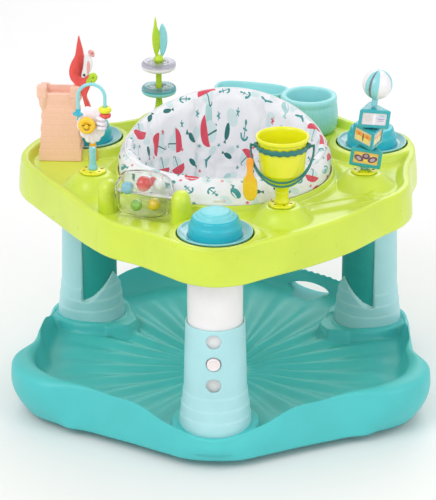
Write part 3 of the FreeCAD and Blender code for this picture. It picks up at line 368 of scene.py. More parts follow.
def lathe(name, profile, place=Matrix.Identity(4), around=96, material=None, closed=False, ripple=None):
    """Turned piece: profile is (radius, height) from bottom to top; ripple(angle, row) scales the radius."""
    points = []
    for row, (radius, height) in enumerate(profile):
        for index in range(around):
            angle = TAU * index / around
            reach = radius * (ripple(angle, row) if ripple else 1.0)
            points.append(place @ Vector((reach * math.cos(angle), reach * math.sin(angle), height)))
    faces = ring_faces(len(profile), around, closed)
    if not closed:
        last = (len(profile) - 1) * around
        faces.append(tuple(reversed(range(around))))
        faces.append(tuple(range(last, last + around)))
    return make_object(name, points, faces, material)


def rounded(profile, radius, steps=4):
    """Corners of a profile replaced by short arcs; the two ends stay."""
    result = [profile[0]]
    for before, corner, after in zip(profile, profile[1:], profile[2:]):
        corner_point = Vector(corner)
        arm_in = Vector(before) - corner_point
        arm_out = Vector(after) - corner_point
        reach = min(radius, arm_in.length * 0.45, arm_out.length * 0.45)
        start = corner_point + arm_in.normalized() * reach
        end = corner_point + arm_out.normalized() * reach
        for step in range(steps + 1):
            share = step / steps
            blend = start * (1 - share) ** 2 + corner_point * 2 * share * (1 - share) + end * share ** 2
            result.append((blend.x, blend.y))
    result.append(profile[-1])
    return result


def catmull(points, share):
    """Point at share (0..1) along a Catmull-Rom line through arrays of points."""
    spans = len(points) - 1
    place = min(share * spans, spans - 1e-9)
    index = int(place)
    t = place - index
    p1, p2 = points[index], points[index + 1]
    p0 = points[index - 1] if index else 2 * p1 - p2
    p3 = points[index + 2] if index + 2 <= spans else 2 * p2 - p1
    return 0.5 * (2 * p1 + (p2 - p0) * t + (2 * p0 - 5 * p1 + 4 * p2 - p3) * t ** 2
                  + (3 * p1 - p0 - 3 * p2 + p3) * t ** 3)


def flowing(profile, steps=4):
    """Smooth line through a profile's points."""
    points = [np.array(point, float) for point in profile]
    total = (len(points) - 1) * steps
    return [tuple(catmull(points, index / total)) for index in range(total + 1)]


def at(x, y, z, angle=0.0, axis="Z"):
    return Matrix.Translation((x, y, z)) @ Matrix.Rotation(math.radians(angle), 4, axis)


def tube(name, path, radius, material=None, sides=14, closed=False, scale=None):
    """Round tube along points, with parallel-carried rings."""
    path = [Vector(point) for point in path]
    count = len(path)
    points = []
    normal = None
    for index, point in enumerate(path):
        before = path[(index - 1) % count] if closed or index else path[0]
        after = path[(index + 1) % count] if closed or index < count - 1 else path[-1]
        ahead = (after - before).normalized()
        if normal is None:
            normal = ahead.orthogonal().normalized()
        normal = (normal - ahead * normal.dot(ahead)).normalized()
        other = ahead.cross(normal)
        reach = radius * (scale(index / (count - 1)) if scale else 1.0)
        for side in range(sides):
            angle = TAU * side / sides
            points.append(point + normal * reach * math.cos(angle) + other * reach * math.sin(angle))
    faces = ring_faces(count, sides, closed)
    if not closed:
        faces.append(tuple(reversed(range(sides))))
        faces.append(tuple(range((count - 1) * sides, count * sides)))
    return make_object(name, points, faces, material)


def joined(name, pieces):
    """Several pieces as one object, each keeping its own material."""
    bpy.ops.object.select_all(action="DESELECT")
    for piece in pieces:
        piece.select_set(True)
    bpy.context.view_layer.objects.active = pieces[0]
    bpy.ops.object.join()
    pieces[0].name = name
    pieces[0].data.name = name
    return pieces[0]


def copy_of(node, name):
    mesh = NODES[node].data.copy()
    mesh.materials.clear()
    piece = bpy.data.objects.new(name, mesh)
    bpy.context.collection.objects.link(piece)
    return piece


def softened(node, voxel=0.0012, passes=6, name=None, material=None, shape=None):
    """A CAD node's shape with moulded, rounded edges; shape(co, normals) may move its points."""
    piece = copy_of(node, name or node + "_moulding")
    remesh = piece.modifiers.new("voxels", "REMESH")
    remesh.mode = "VOXEL"
    remesh.voxel_size = voxel
    smooth = piece.modifiers.new("soften", "SMOOTH")
    smooth.factor = 0.5
    smooth.iterations = passes
    apply_modifiers(piece)
    if shape:
        reshape(piece, shape)
    piece.data.shade_smooth()
    piece.data.materials.append(material or MATERIALS[SLOT_OF[node]])
    settle(piece, BODY_OF[node], node)
    return piece


def reshape(piece, shape):
    mesh = piece.data
    count = len(mesh.vertices)
    places = np.empty(count * 3)
    normals = np.empty(count * 3)
    mesh.vertices.foreach_get("co", places)
    mesh.vertex_normals.foreach_get("vector", normals)
    moved = shape(places.reshape(-1, 3), normals.reshape(-1, 3))
    mesh.vertices.foreach_set("co", moved.ravel())
    mesh.update()


def smoothstep(low, high, value):
    share = np.clip((value - low) / (high - low), 0, 1)
    return share * share * (3 - 2 * share)


def periodic(angles, values, query, period):
    """Smooth periodic curve through (angle, value) pairs."""
    angles = np.asarray(angles, float)
    values = np.asarray(values, float)
    count = len(angles)
    long_angles = np.concatenate([angles - period, angles, angles + period])
    long_values = np.tile(values, 3)
    slopes = np.gradient(long_values, long_angles)
    query = np.mod(query - angles[0], period) + angles[0]
    spot = np.clip(np.searchsorted(long_angles, query, side="right") - 1, 0, 3 * count - 2)
    width = long_angles[spot + 1] - long_angles[spot]
    share = (query - long_angles[spot]) / width
    a, b = long_values[spot], long_values[spot + 1]
    ma, mb = slopes[spot] * width, slopes[spot + 1] * width
    return ((2 * share ** 3 - 3 * share ** 2 + 1) * a + (share ** 3 - 2 * share ** 2 + share) * ma
            + (3 * share ** 2 - 2 * share ** 3) * b + (share ** 3 - share ** 2) * mb)


def polar_piece(name, rings, material, close_ends=True):
    """Closed surface from rings of equal length, each an (n, 3) array."""
    around = len(rings[0])
    points = np.concatenate(rings)
    faces = ring_faces(len(rings), around, not close_ends)
    if close_ends:
        last = (len(rings) - 1) * around
        faces.append(tuple(reversed(range(around))))
        faces.append(tuple(range(last, last + around)))
    return make_object(name, points.tolist(), faces, material)


def cut_with(piece, tool):
    boolean = piece.modifiers.new("cut", "BOOLEAN")
    boolean.operation = "DIFFERENCE"
    boolean.solver = "EXACT"
    boolean.object = tool
    apply_modifiers(piece)
    bpy.data.objects.remove(tool)
    return piece


# ---------------------------------------------------------------- saucer

SIXTH = [0, 14, 23, 33, 42, 50, 60]
RIM_OUT = [0.406, 0.378, 0.367, 0.368, 0.381, 0.420, 0.439]
RIM_IN = [0.388, 0.366, 0.357, 0.357, 0.357, 0.376, 0.390]
RIM_TOP = [0.062, 0.074, 0.095, 0.099, 0.102, 0.107, 0.109]
SAUCER_STEPS = 900


def third_curve(values, angles):
    """Value round the saucer from seven values over a sixth of the turn."""
    turn = np.degrees(angles) + 90.0
    spots = SIXTH + [120 - spot for spot in SIXTH[-2:0:-1]]
    return periodic(spots, list(values) + list(values)[-2:0:-1], np.mod(turn, 120.0), 120.0)


def leg_distance(x, y):
    return np.min([np.hypot(x - spot.x, y - spot.y) for spot in LEG_SPOTS.values()], axis=0)


def collar_height(x, y):
    """Raised collars round the legs, each with a blunt nose towards the middle."""
    gap = leg_distance(x, y)
    collar = 0.054 * (1 - smoothstep(0.078, 0.092, gap))
    for spot in LEG_SPOTS.values():
        inward = -spot.normalized()
        along = (x - spot.x) * inward.x + (y - spot.y) * inward.y
        across = np.abs((x - spot.x) * -inward.y + (y - spot.y) * inward.x)
        reach = np.clip((0.112 - along) / 0.04, 0, 1)
        nose = 0.048 * smoothstep(0, 0.35, reach) * (1 - smoothstep(0.004, 0.020, across - 0.040 * reach))
        collar = np.maximum(collar, np.where(along > 0.02, nose, 0))
    return collar


def floor_height(x, y, wall):
    radius = np.hypot(x, y)
    angle = np.arctan2(y, x)
    slope = 0.006 + 0.030 * smoothstep(0.06, 0.40, radius) + 0.012 * smoothstep(0.0, 0.12, radius)
    fan = np.cos(angle * 13 + 0.4) ** 2
    fade = 1 - 0.6 * smoothstep(0.20, 0.36, radius)
    grow = smoothstep(0.015, 0.10, radius) * fade * (1 - smoothstep(0.86, 0.99, radius / wall))
    flat = slope + 0.0090 * grow * fan
    return np.maximum(flat, collar_height(x, y) + 0.012)


def build_saucer():
    low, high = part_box("base_saucer")
    angles = np.linspace(0, TAU, SAUCER_STEPS, endpoint=False)
    out = third_curve(RIM_OUT, angles)
    inner = third_curve(RIM_IN, angles)
    top = third_curve(RIM_TOP, angles)
    degrees = np.degrees(angles)
    top = top + 0.034 * np.exp(-((degrees - 44.5) / 3.4) ** 2)
    bar = smoothstep(50, 53, degrees) * (1 - smoothstep(73, 76, degrees))
    top = top - bar * 0.012 + bar * 0.0011 * np.sin(np.radians(degrees) * 150)
    cos, sin = np.cos(angles), np.sin(angles)

    def ring(radius, height):
        height = np.broadcast_to(height, radius.shape)
        return np.stack([radius * cos, radius * sin, height], axis=1)

    wall_foot = inner - 0.016
    rings = []
    for share in np.concatenate([np.linspace(0.004, 0.97, 96), [0.985, 1.0]]):
        radius = wall_foot * share
        height = floor_height(radius * cos, radius * sin, wall_foot)
        rings.append(ring(radius, np.minimum(height, top - 0.004)))
    start = rings[-1][:, 2]
    corner = smoothstep(0.385, 0.425, out)
    lip = out * (0.977 + 0.018 * corner)
    foot = out * (1 - 0.055 * corner)
    half = (lip - inner) / 2
    round_up = np.minimum(half * 0.85, 0.014)
    for share in np.linspace(0.12, 1.0, 10):
        bulge = wall_foot + (inner - wall_foot) * share ** 0.8
        rings.append(ring(bulge, start + (top - round_up - start) * share ** 1.25))
    for share in np.linspace(0.06, 1.0, 16):
        turn = math.pi * share
        rings.append(ring(inner + half * (1 - math.cos(turn)), top - round_up + round_up * math.sin(turn)))
    base = 0.019 + 0 * angles
    notch = np.exp(-((np.mod(degrees - 193.5 + 180, 360) - 180) / 2.2) ** 8)
    notch += np.exp(-((np.mod(degrees - 346.5 + 180, 360) - 180) / 2.2) ** 8)
    notch += np.exp(-((degrees - 90) / 2.2) ** 8)
    base = base + 0.020 * notch
    for share in np.linspace(0.08, 1.0, 12):
        radius = lip + (foot - lip) * share + (0.0035 + 0.006 * corner) * math.sin(math.pi * share)
        rings.append(ring(radius, top - round_up + (base - top + round_up) * share))
    rings.append(ring(foot - 0.002, base - 0.003))
    rings.append(ring(foot - 0.007, base - 0.001))
    belly = 0.110
    for share in (0.10, 0.4, 0.7, 1.0):
        radius = foot - 0.012 + (belly - foot + 0.012) * share
        rings.append(ring(radius, 0.0175 * (1 - share)))
    rings.append(ring(0 * angles + 0.02, 0.0))
    saucer = polar_piece("saucer_moulding", rings, MATERIALS["saucer_teal"])
    slot_low, slot_high = 0.042, 0.066
    slot = tube("slot_tool", [Vector((0, 0, 0)), Vector((0, 0, 0.16))], 0.012, sides=24)
    slot.data.transform(Matrix.Diagonal((4.0, 1.0, 1.0, 1.0)))
    slot.data.transform(at(0, 0, 0, -90, "X"))
    turn = math.radians(63)
    slot.data.transform(at(0.31 * math.cos(turn), 0.31 * math.sin(turn), (slot_low + slot_high) / 2, 63 - 90))
    cut_with(saucer, slot)
    saucer.data.shade_smooth()
    collars = []
    for name, spot in LEG_SPOTS.items():
        profile = rounded([(0.0672, 0.030), (0.0672, 0.0600), (0.0715, 0.0612), (0.0795, 0.0575), (0.083, 0.040),
                           (0.083, 0.030)], 0.003)
        collars.append(lathe("collar_" + name, profile, at(spot.x, spot.y, 0), 120,
                             MATERIALS["saucer_teal"], closed=True))
    whole = joined("saucer_moulding", [saucer] + collars)
    settle(whole, "base", "base_saucer")


# ---------------------------------------------------------------- tray

TRAY_OUTLINE = [(0, -405), (48, -392), (88, -362), (176, -294), (246, -225), (298, -156), (336, -108),
                (353, -62), (353, -8), (356, 50), (366, 110), (361, 178), (340, 222), (296, 246),
                (242, 289), (181, 350), (98, 378), (10, 386), (-74, 367), (-138, 326), (-192, 281),
                (-256, 248), (-316, 236), (-354, 206), (-376, 160), (-394, 110), (-400, 62), (-388, 14),
                (-356, -42), (-312, -112), (-280, -166), (-238, -232), (-190, -290), (-132, -326),
                (-88, -362), (-48, -392)]
TRAY_STEPS = 960
DECK = 0.417
RIM = 0.432


def tray_radius(angles):
    points = np.array(TRAY_OUTLINE) / 1000.0
    turns = np.unwrap(np.arctan2(points[:, 1], points[:, 0]))
    return periodic(turns, np.hypot(points[:, 0], points[:, 1]), angles, TAU)


def tray_top(x, y, edge):
    """Height of the tray's upper face; edge is the distance in from the outline."""
    height = DECK + (RIM - DECK) * (1 - smoothstep(0.010, 0.024, edge))
    height = height - 0.0022 * np.exp(-((edge - 0.030) / 0.004) ** 2)
    gap = leg_distance(x, y)
    height = np.maximum(height, DECK + (RIM - DECK) * (1 - smoothstep(0.079, 0.094, gap)))
    radius = np.hypot(x, y)
    height = np.maximum(height, DECK + 0.010 * (1 - smoothstep(0.206, 0.226, radius)))
    for node in ("bead_toy_stem", "ring_toy_stem", "bucket_stem", "spinner_stem"):
        spot = TOY_SPOTS[node]
        away = np.hypot(x - spot.x, y - spot.y)
        mound = 0.0258 * (1 - smoothstep(0.028, 0.062, away))
        height = np.maximum(height, DECK + mound)
    drum = middle("roller_drum")
    turn = DRUM_TURN
    along = (x - drum.x) * math.cos(turn) + (y - drum.y) * math.sin(turn)
    across = -(x - drum.x) * math.sin(turn) + (y - drum.y) * math.cos(turn)
    trough = drum.z - np.sqrt(np.maximum(0.0462 ** 2 - across ** 2, 0))
    inside = (np.abs(along) < 0.050) & (np.abs(across) < 0.0462)
    height = np.where(inside, np.minimum(height, trough), height)
    plate_along = (x - 0.222) * 0.74 + (y + 0.136) * 0.67
    plate_across = -(x - 0.222) * 0.67 + (y + 0.136) * 0.74
    plate = np.maximum(np.abs(plate_along) / 0.052, np.abs(plate_across + 0.25 * plate_along) / 0.013)
    height = height + 0.006 * (1 - smoothstep(1.2, 1.9, plate)) - 0.0022 * (1 - smoothstep(0.92, 1.0, plate))
    hole = smoothstep(0.0690, 0.0700, gap)
    return height * hole + (1 - hole) * 0.4135


def build_tray():
    angles = np.linspace(0, TAU, TRAY_STEPS, endpoint=False)
    bottom_out = tray_radius(angles)
    top_out = bottom_out * 0.985
    cos, sin = np.cos(angles), np.sin(angles)
    seams = np.zeros_like(angles)
    for x, y in ((-0.219, -0.262), (-0.130, -0.336)):
        seam = math.atan2(y, x) % TAU
        seams += np.exp(-(((angles - seam) * 0.36) / 0.0016) ** 2)

    def ring(radius, height):
        height = np.broadcast_to(height, radius.shape)
        return np.stack([radius * cos, radius * sin, height], axis=1)

    hole = 0.2002 + 0 * angles
    lip = [(0.0, 0.400), (0.0, 0.431), (0.0008, 0.4345), (0.0025, 0.436), (0.0045, 0.4355), (0.0060, 0.432)]
    rings = [ring(hole + step, height) for step, height in lip]
    rim_round = 0.006
    inner, outer = 0.2075, top_out - rim_round
    for share in np.linspace(0, 1, 100):
        radius = inner + (outer - inner) * share
        x, y = radius * cos, radius * sin
        rings.append(ring(radius, tray_top(x, y, (top_out - radius) * 0.9)))
    for turn in np.linspace(0.2, 1, 6) * math.pi / 2:
        rings.append(ring(outer + rim_round * math.sin(turn), RIM - rim_round + rim_round * math.cos(turn)))
    wave = 0.364 + 0.0025 * np.sin(angles * 3 + 1.2) - 0.002 * np.exp(-(np.minimum(
        np.abs(np.degrees(angles) - 270), 90) / 16) ** 2)
    for share in np.linspace(0.1, 0.96, 10):
        radius = top_out + (bottom_out - top_out) * share - 0.0016 * seams + 0.0012 * math.sin(math.pi * share)
        rings.append(ring(radius, RIM - rim_round + (wave - RIM + rim_round) * share))
    rings.append(ring(bottom_out - 0.0005, wave + 0.0005))
    rings.append(ring(bottom_out - 0.002, wave - 0.0005))
    rings.append(ring(bottom_out - 0.0045, wave + 0.001))
    for radius, height in ((top_out - 0.0055, 0.409), (top_out - 0.009, 0.412), (hole + 0.010, 0.412),
                           (hole + 0.006, 0.410), (hole + 0.005, 0.402), (hole + 0.003, 0.400)):
        rings.append(ring(radius, height))
    tray = polar_piece("tray_moulding", rings, MATERIALS["tray_lime"], close_ends=False)
    extras = []
    for name, spot in LEG_SPOTS.items():
        profile = rounded([(0.0693, 0.4135), (0.0693, 0.4318), (0.0708, 0.4330), (0.0775, 0.4322), (0.0775, 0.4135)],
                          0.0008)
        extras.append(lathe("leg_lip_" + name, profile, at(spot.x, spot.y, 0), 140,
                            MATERIALS["tray_lime"], closed=True))
    axle_low, axle_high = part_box("roller_axle")
    drum = middle("roller_drum")
    for side in (-1, 1):
        reach = side * 0.072
        centre = Vector((drum.x + reach * math.cos(DRUM_TURN), drum.y + reach * math.sin(DRUM_TURN), 0))
        profile = [(0.0210, 0.412), (0.0205, 0.422), (0.0200, 0.440), (0.0192, 0.456), (0.0172, 0.465),
                   (0.0135, 0.4715), (0.0080, 0.4755), (0.0005, 0.4768)]
        post = lathe("drum_post", flowing(profile, 3), Matrix.Identity(4), 64, MATERIALS["tray_lime"])
        post.data.transform(at(centre.x, centre.y, 0, math.degrees(DRUM_TURN))
                            @ Matrix.Diagonal((0.92, 1.10, 1.0, 1.0)))
        extras.append(post)
    whole = joined("tray_moulding", [tray] + extras)
    settle(whole, "tray", "tray_shell")


# ---------------------------------------------------------------- legs

def build_legs():
    for name, spot in LEG_SPOTS.items():
        place = at(spot.x, spot.y, 0, LEGS[name])
        dome = [(0.0485, 0.4255), (0.0480, 0.430), (0.0470, 0.448), (0.0455, 0.4515), (0.0440, 0.4528),
                (0.0430, 0.4535), (0.0425, 0.4590), (0.0415, 0.4620), (0.0390, 0.4640), (0.0345, 0.4655),
                (0.0335, 0.4680), (0.0325, 0.4695), (0.0270, 0.4712), (0.0262, 0.4728), (0.0250, 0.4738),
                (0.0150, 0.4748), (0.0005, 0.4750)]
        top = lathe("leg_dome_cap_" + name, rounded(dome, 0.0012, 3), place, 128, MATERIALS["dome_turquoise"])
        pale = MATERIALS["dome_pale"]
        top.data.materials.append(pale)
        for face in top.data.polygons:
            face.material_index = 1 if face.center.z > 0.4640 else 0
        settle(top, "legs", "leg_dome_" + name)
        dish = [(0.0470, 0.4262), (0.0560, 0.4268), (0.0640, 0.4300), (0.0672, 0.4335), (0.0673, 0.4362),
                (0.0655, 0.4368), (0.0610, 0.4335), (0.0540, 0.4305), (0.0470, 0.4298)]
        rim = lathe("leg_dish_rim_" + name, rounded(dish, 0.0012, 3), place, 140, MATERIALS["dish_aqua"], closed=True)
        settle(rim, "legs", "leg_dish_" + name)
        softened("leg_sleeve_" + name, 0.0016, 3)
        softened("leg_tube_" + name, 0.0020, 3)
        button = [(0.0118, 0.0), (0.0121, 0.0010), (0.0121, 0.0058), (0.0112, 0.0072), (0.0090, 0.0075),
                  (0.0080, 0.0066), (0.0005, 0.0064)]
        low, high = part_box("height_button_" + name)
        outward = spot.normalized()
        start = Vector((spot.x, spot.y, (low.z + high.z) / 2)) + outward * 0.0507
        turn = outward.to_track_quat("Z", "Y").to_matrix().to_4x4()
        cap = lathe("snap_button_" + name, rounded(button, 0.0006, 3), Matrix.Translation(start) @ turn, 64,
                    MATERIALS["button_white"])
        settle(cap, f"button_{name}", "height_button_" + name)


# ---------------------------------------------------------------- seat print

def motif(s, place, spot, size, angle, shape):
    """Mask of one printed shape in the repeat; spot and size in metres."""
    node = s.node("ShaderNodeMapping", vector_type="TEXTURE")
    s.link(place, node.inputs["Vector"])
    node.inputs["Location"].default_value = (spot[0], spot[1], 0)
    node.inputs["Rotation"].default_value = (0, 0, math.radians(angle))
    node.inputs["Scale"].default_value = (size[0], size[1], 1)
    local = node.outputs[0]
    if shape == "disc":
        return s.math("LESS_THAN", s.vector("LENGTH", local), 1.0)
    x, y = s.split(local)[0:2]
    if shape == "half":
        inside = s.math("LESS_THAN", s.vector("LENGTH", local), 1.0)
        return s.math("MULTIPLY", inside, s.math("GREATER_THAN", y, 0.0))
    if shape == "bar":
        return s.math("LESS_THAN", s.math("MAXIMUM", s.math("ABSOLUTE", x), s.math("ABSOLUTE", y)), 1.0)
    if shape == "wedge":
        inside = s.math("LESS_THAN", s.math("ABSOLUTE", x), s.math("MULTIPLY", y, 0.6))
        return s.math("MULTIPLY", inside, s.math("LESS_THAN", y, 1.0))
    if shape == "hook":
        band = s.math("ABSOLUTE", s.math("SUBTRACT", s.vector("LENGTH", local), 0.8))
        return s.math("MULTIPLY", s.math("LESS_THAN", band, 0.2), s.math("LESS_THAN", y, 0.0))
    turn = s.math("ARCTAN2", y, x)
    reach = s.math("ADD", s.math("MULTIPLY", s.math("COSINE", s.math("MULTIPLY", turn, 5.0)), 0.32), 0.62)
    return s.math("LESS_THAN", s.vector("LENGTH", local), reach)


RED = (0.680, 0.065, 0.110)
TEAL = (0.045, 0.300, 0.300)
DEEP = (0.012, 0.150, 0.145)
PALE = (0.400, 0.630, 0.630)
MIST = (0.620, 0.750, 0.770)
CELLS_ROUND = 27
CELL = TAU * 0.19 / CELLS_ROUND


def scatter(s, uv, pitch, count, offset, jitter, seed):
    """Grid of cells with one shape each: local metres in a randomly turned frame, and three random numbers."""
    moved = s.vector("ADD", uv, offset)
    x, y = s.split(moved)[0:2]
    px, py = s.math("DIVIDE", x, pitch), s.math("DIVIDE", y, pitch)
    column, row = s.math("FLOOR", px), s.math("FLOOR", py)
    ident = s.combine(s.math("FLOORED_MODULO", column, float(count)), row, seed)
    noise = s.node("ShaderNodeTexWhiteNoise", noise_dimensions="3D")
    s.link(ident, noise.inputs["Vector"])
    random_x, random_y, random_z = s.split(noise.outputs["Color"])
    lx = s.math("SUBTRACT", s.math("SUBTRACT", px, column), 0.5)
    ly = s.math("SUBTRACT", s.math("SUBTRACT", py, row), 0.5)
    lx = s.math("SUBTRACT", lx, s.math("MULTIPLY", s.math("SUBTRACT", random_x, 0.5), jitter))
    ly = s.math("SUBTRACT", ly, s.math("MULTIPLY", s.math("SUBTRACT", random_y, 0.5), jitter))
    local = s.combine(s.math("MULTIPLY", lx, pitch), s.math("MULTIPLY", ly, pitch))
    turned = s.node("ShaderNodeVectorRotate", rotation_type="Z_AXIS")
    s.link(local, turned.inputs["Vector"])
    s.link(s.math("MULTIPLY", random_z, TAU * 1.7), turned.inputs["Angle"])
    return turned.outputs[0], (noise.outputs["Value"], random_x, random_y)


def between(s, value, low, high):
    return s.math("MULTIPLY", s.math("GREATER_THAN", value, low), s.math("LESS_THAN", value, high))


def any_of(s, *masks):
    result = masks[0]
    for mask in masks[1:]:
        result = s.math("MAXIMUM", result, mask)
    return result


def seat_material():
    s = Shader("seat_print")
    uv = s.uv()
    x, y = s.split(uv)[0:2]
    colour = s.mix(s.ramp(s.noise(uv, 30.0, 3.0), 0.3, 0.7), (0.780, 0.790, 0.835), (0.840, 0.850, 0.880))
    blobs, (chance, shade, _) = scatter(s, uv, CELL, CELLS_ROUND, (0.006, 0.011, 0), 0.5, 3.0)
    blob = s.math("MULTIPLY", motif(s, blobs, (0, 0), (0.0125, 0.0072), 0, "disc"), s.math("LESS_THAN", chance, 0.62))
    colour = s.mix(blob, colour, s.mix(s.math("GREATER_THAN", shade, 0.5), MIST, PALE))

    small, (chance, shade, _) = scatter(s, uv, CELL, CELLS_ROUND, (CELL / 2, CELL / 2, 0), 0.30, 7.0)
    star = s.math("MULTIPLY", motif(s, small, (0, 0), (0.0046, 0.0046), 0, "star"), s.math("LESS_THAN", chance, 0.74))
    colour = s.mix(star, colour, s.mix(s.math("GREATER_THAN", shade, 0.36), TEAL, RED))

    cell, (kind, shade, _) = scatter(s, uv, CELL, CELLS_ROUND, (0, 0, 0), 0.22, 1.0)
    large = s.vector("MULTIPLY", cell, (0.70, 0.70, 1.0))
    cell = s.vector("MULTIPLY", cell, (0.84, 0.84, 1.0))
    is_umbrella = s.math("LESS_THAN", kind, 0.24)
    is_fish = between(s, kind, 0.24, 0.52)
    is_whale = between(s, kind, 0.52, 0.70)
    is_anchor = between(s, kind, 0.70, 0.82)
    is_gull = between(s, kind, 0.82, 0.93)
    shelter = s.math("MULTIPLY", is_umbrella, motif(s, large, (0, -0.0010), (0.0090, 0.0110), 0, "disc"))
    canopy = s.math("MULTIPLY", is_umbrella, motif(s, large, (0, 0.0020), (0.0138, 0.0118), 0, "half"))
    handle = any_of(s, motif(s, large, (0, -0.0045), (0.0007, 0.0075), 0, "bar"),
                    motif(s, large, (0.0018, -0.0115), (0.0026, 0.0026), 0, "hook"))
    handle = s.math("MULTIPLY", is_umbrella, handle)
    colour = s.mix(shelter, colour, MIST)
    colour = s.mix(handle, colour, DEEP)
    colour = s.mix(canopy, colour, RED)
    body = any_of(s, motif(s, cell, (0.0015, 0), (0.0082, 0.0044), 0, "disc"),
                  motif(s, cell, (-0.0055, 0), (0.0052, 0.0060), 90, "wedge"))
    colour = s.mix(s.math("MULTIPLY", is_fish, body), colour,
                   s.mix(s.math("GREATER_THAN", shade, 0.55), DEEP, TEAL))
    whale = any_of(s, motif(s, cell, (0.0020, 0), (0.0110, 0.0066), 0, "disc"),
                   motif(s, cell, (-0.0090, 0.0028), (0.0058, 0.0020), -35, "disc"),
                   motif(s, cell, (-0.0128, 0.0052), (0.0042, 0.0015), 40, "disc"))
    belly = motif(s, cell, (0.0040, -0.0036), (0.0066, 0.0013), 0, "disc")
    colour = s.mix(s.math("MULTIPLY", is_whale, whale), colour,
                   s.mix(s.math("GREATER_THAN", shade, 0.6), TEAL, PALE))
    colour = s.mix(s.math("MULTIPLY", is_whale, belly), colour, (0.75, 0.80, 0.84))
    anchor = any_of(s, motif(s, cell, (0, 0), (0.0078, 0.0074), 0, "hook"),
                    motif(s, cell, (0, 0.0005), (0.0009, 0.0082), 0, "bar"),
                    motif(s, cell, (0, 0.0045), (0.0040, 0.0008), 0, "bar"),
                    motif(s, cell, (0, 0.0100), (0.0022, 0.0022), 0, "disc"))
    colour = s.mix(s.math("MULTIPLY", is_anchor, anchor), colour, TEAL)
    gull = any_of(s, motif(s, cell, (-0.0052, 0.0008), (0.0072, 0.0020), -26, "disc"),
                  motif(s, cell, (0.0052, 0.0008), (0.0072, 0.0020), 26, "disc"),
                  motif(s, cell, (0, -0.0016), (0.0022, 0.0032), 0, "disc"))
    colour = s.mix(s.math("MULTIPLY", is_gull, gull), colour, s.mix(s.math("GREATER_THAN", shade, 0.5), RED, TEAL))
    s.link(colour, s.bsdf.inputs["Base Color"])
    s.bsdf.inputs["Roughness"].default_value = 0.85
    s.bsdf.inputs["Sheen Weight"].default_value = 0.25
    s.bsdf.inputs["Sheen Roughness"].default_value = 0.5
    thread = 2 * math.pi / 0.0011
    weave = s.math("MULTIPLY", s.math("SINE", s.math("MULTIPLY", x, thread)),
                   s.math("SINE", s.math("MULTIPLY", y, thread)))
    crease = s.noise(uv, 55.0, 4.0, 0.6)
    height = s.math("ADD", s.math("MULTIPLY", weave, 0.12), s.math("MULTIPLY", crease, 1.0))
    s.link(s.bump(height, 0.35, 0.0015), s.bsdf.inputs["Normal"])
    return s.material


def seat_profile(angles):
    """Control rings of the padded seat from its outer bottom, over the rim and down to the bowl."""
    back = (1 + np.sin(angles)) / 2
    top = 0.470 + 0.057 * back ** 3.2
    reach = 0.186 - 0.034 * (1 - back) ** 3
    one = np.ones_like(angles)
    pairs = [(0.020 * one, 0.2630 * one), (0.080 * one, 0.2625 * one), (0.118 * one, 0.2700 * one),
             (0.150 * one, 0.3050 * one), (0.172 * one, 0.350 * one), (0.1850 * one, 0.392 * one),
             (0.1880 * one, 0.4305 * one), (0.1970 * one, 0.4322 * one), (0.1990 * one, 0.4385 * one),
             (0.2000 * one * 0.5 + 0.5 * (reach + 0.0150), 0.4460 * 0.55 + 0.45 * (top - 0.008)),
             (reach + 0.0095, top - 0.0060), (reach + 0.0010, top), (reach - 0.0085, top - 0.0050),
             (reach - 0.0130, top - 0.0180), (np.minimum(reach - 0.0180, 0.163), 0.437 * one),
             (np.minimum(reach - 0.0200, 0.156), 0.400 * one), (0.1440 * one, 0.360 * one),
             (0.1240 * one, 0.318 * one), (0.0950 * one, 0.2870 * one), (0.0500 * one, 0.2755 * one),
             (0.015 * one, 0.2745 * one)]
    return [np.stack([radius, height], axis=1) for radius, height in pairs]


SEAT_AROUND = 300
SEAT_ROWS = 118
RIM_ROW_SHARE = 11 / 20


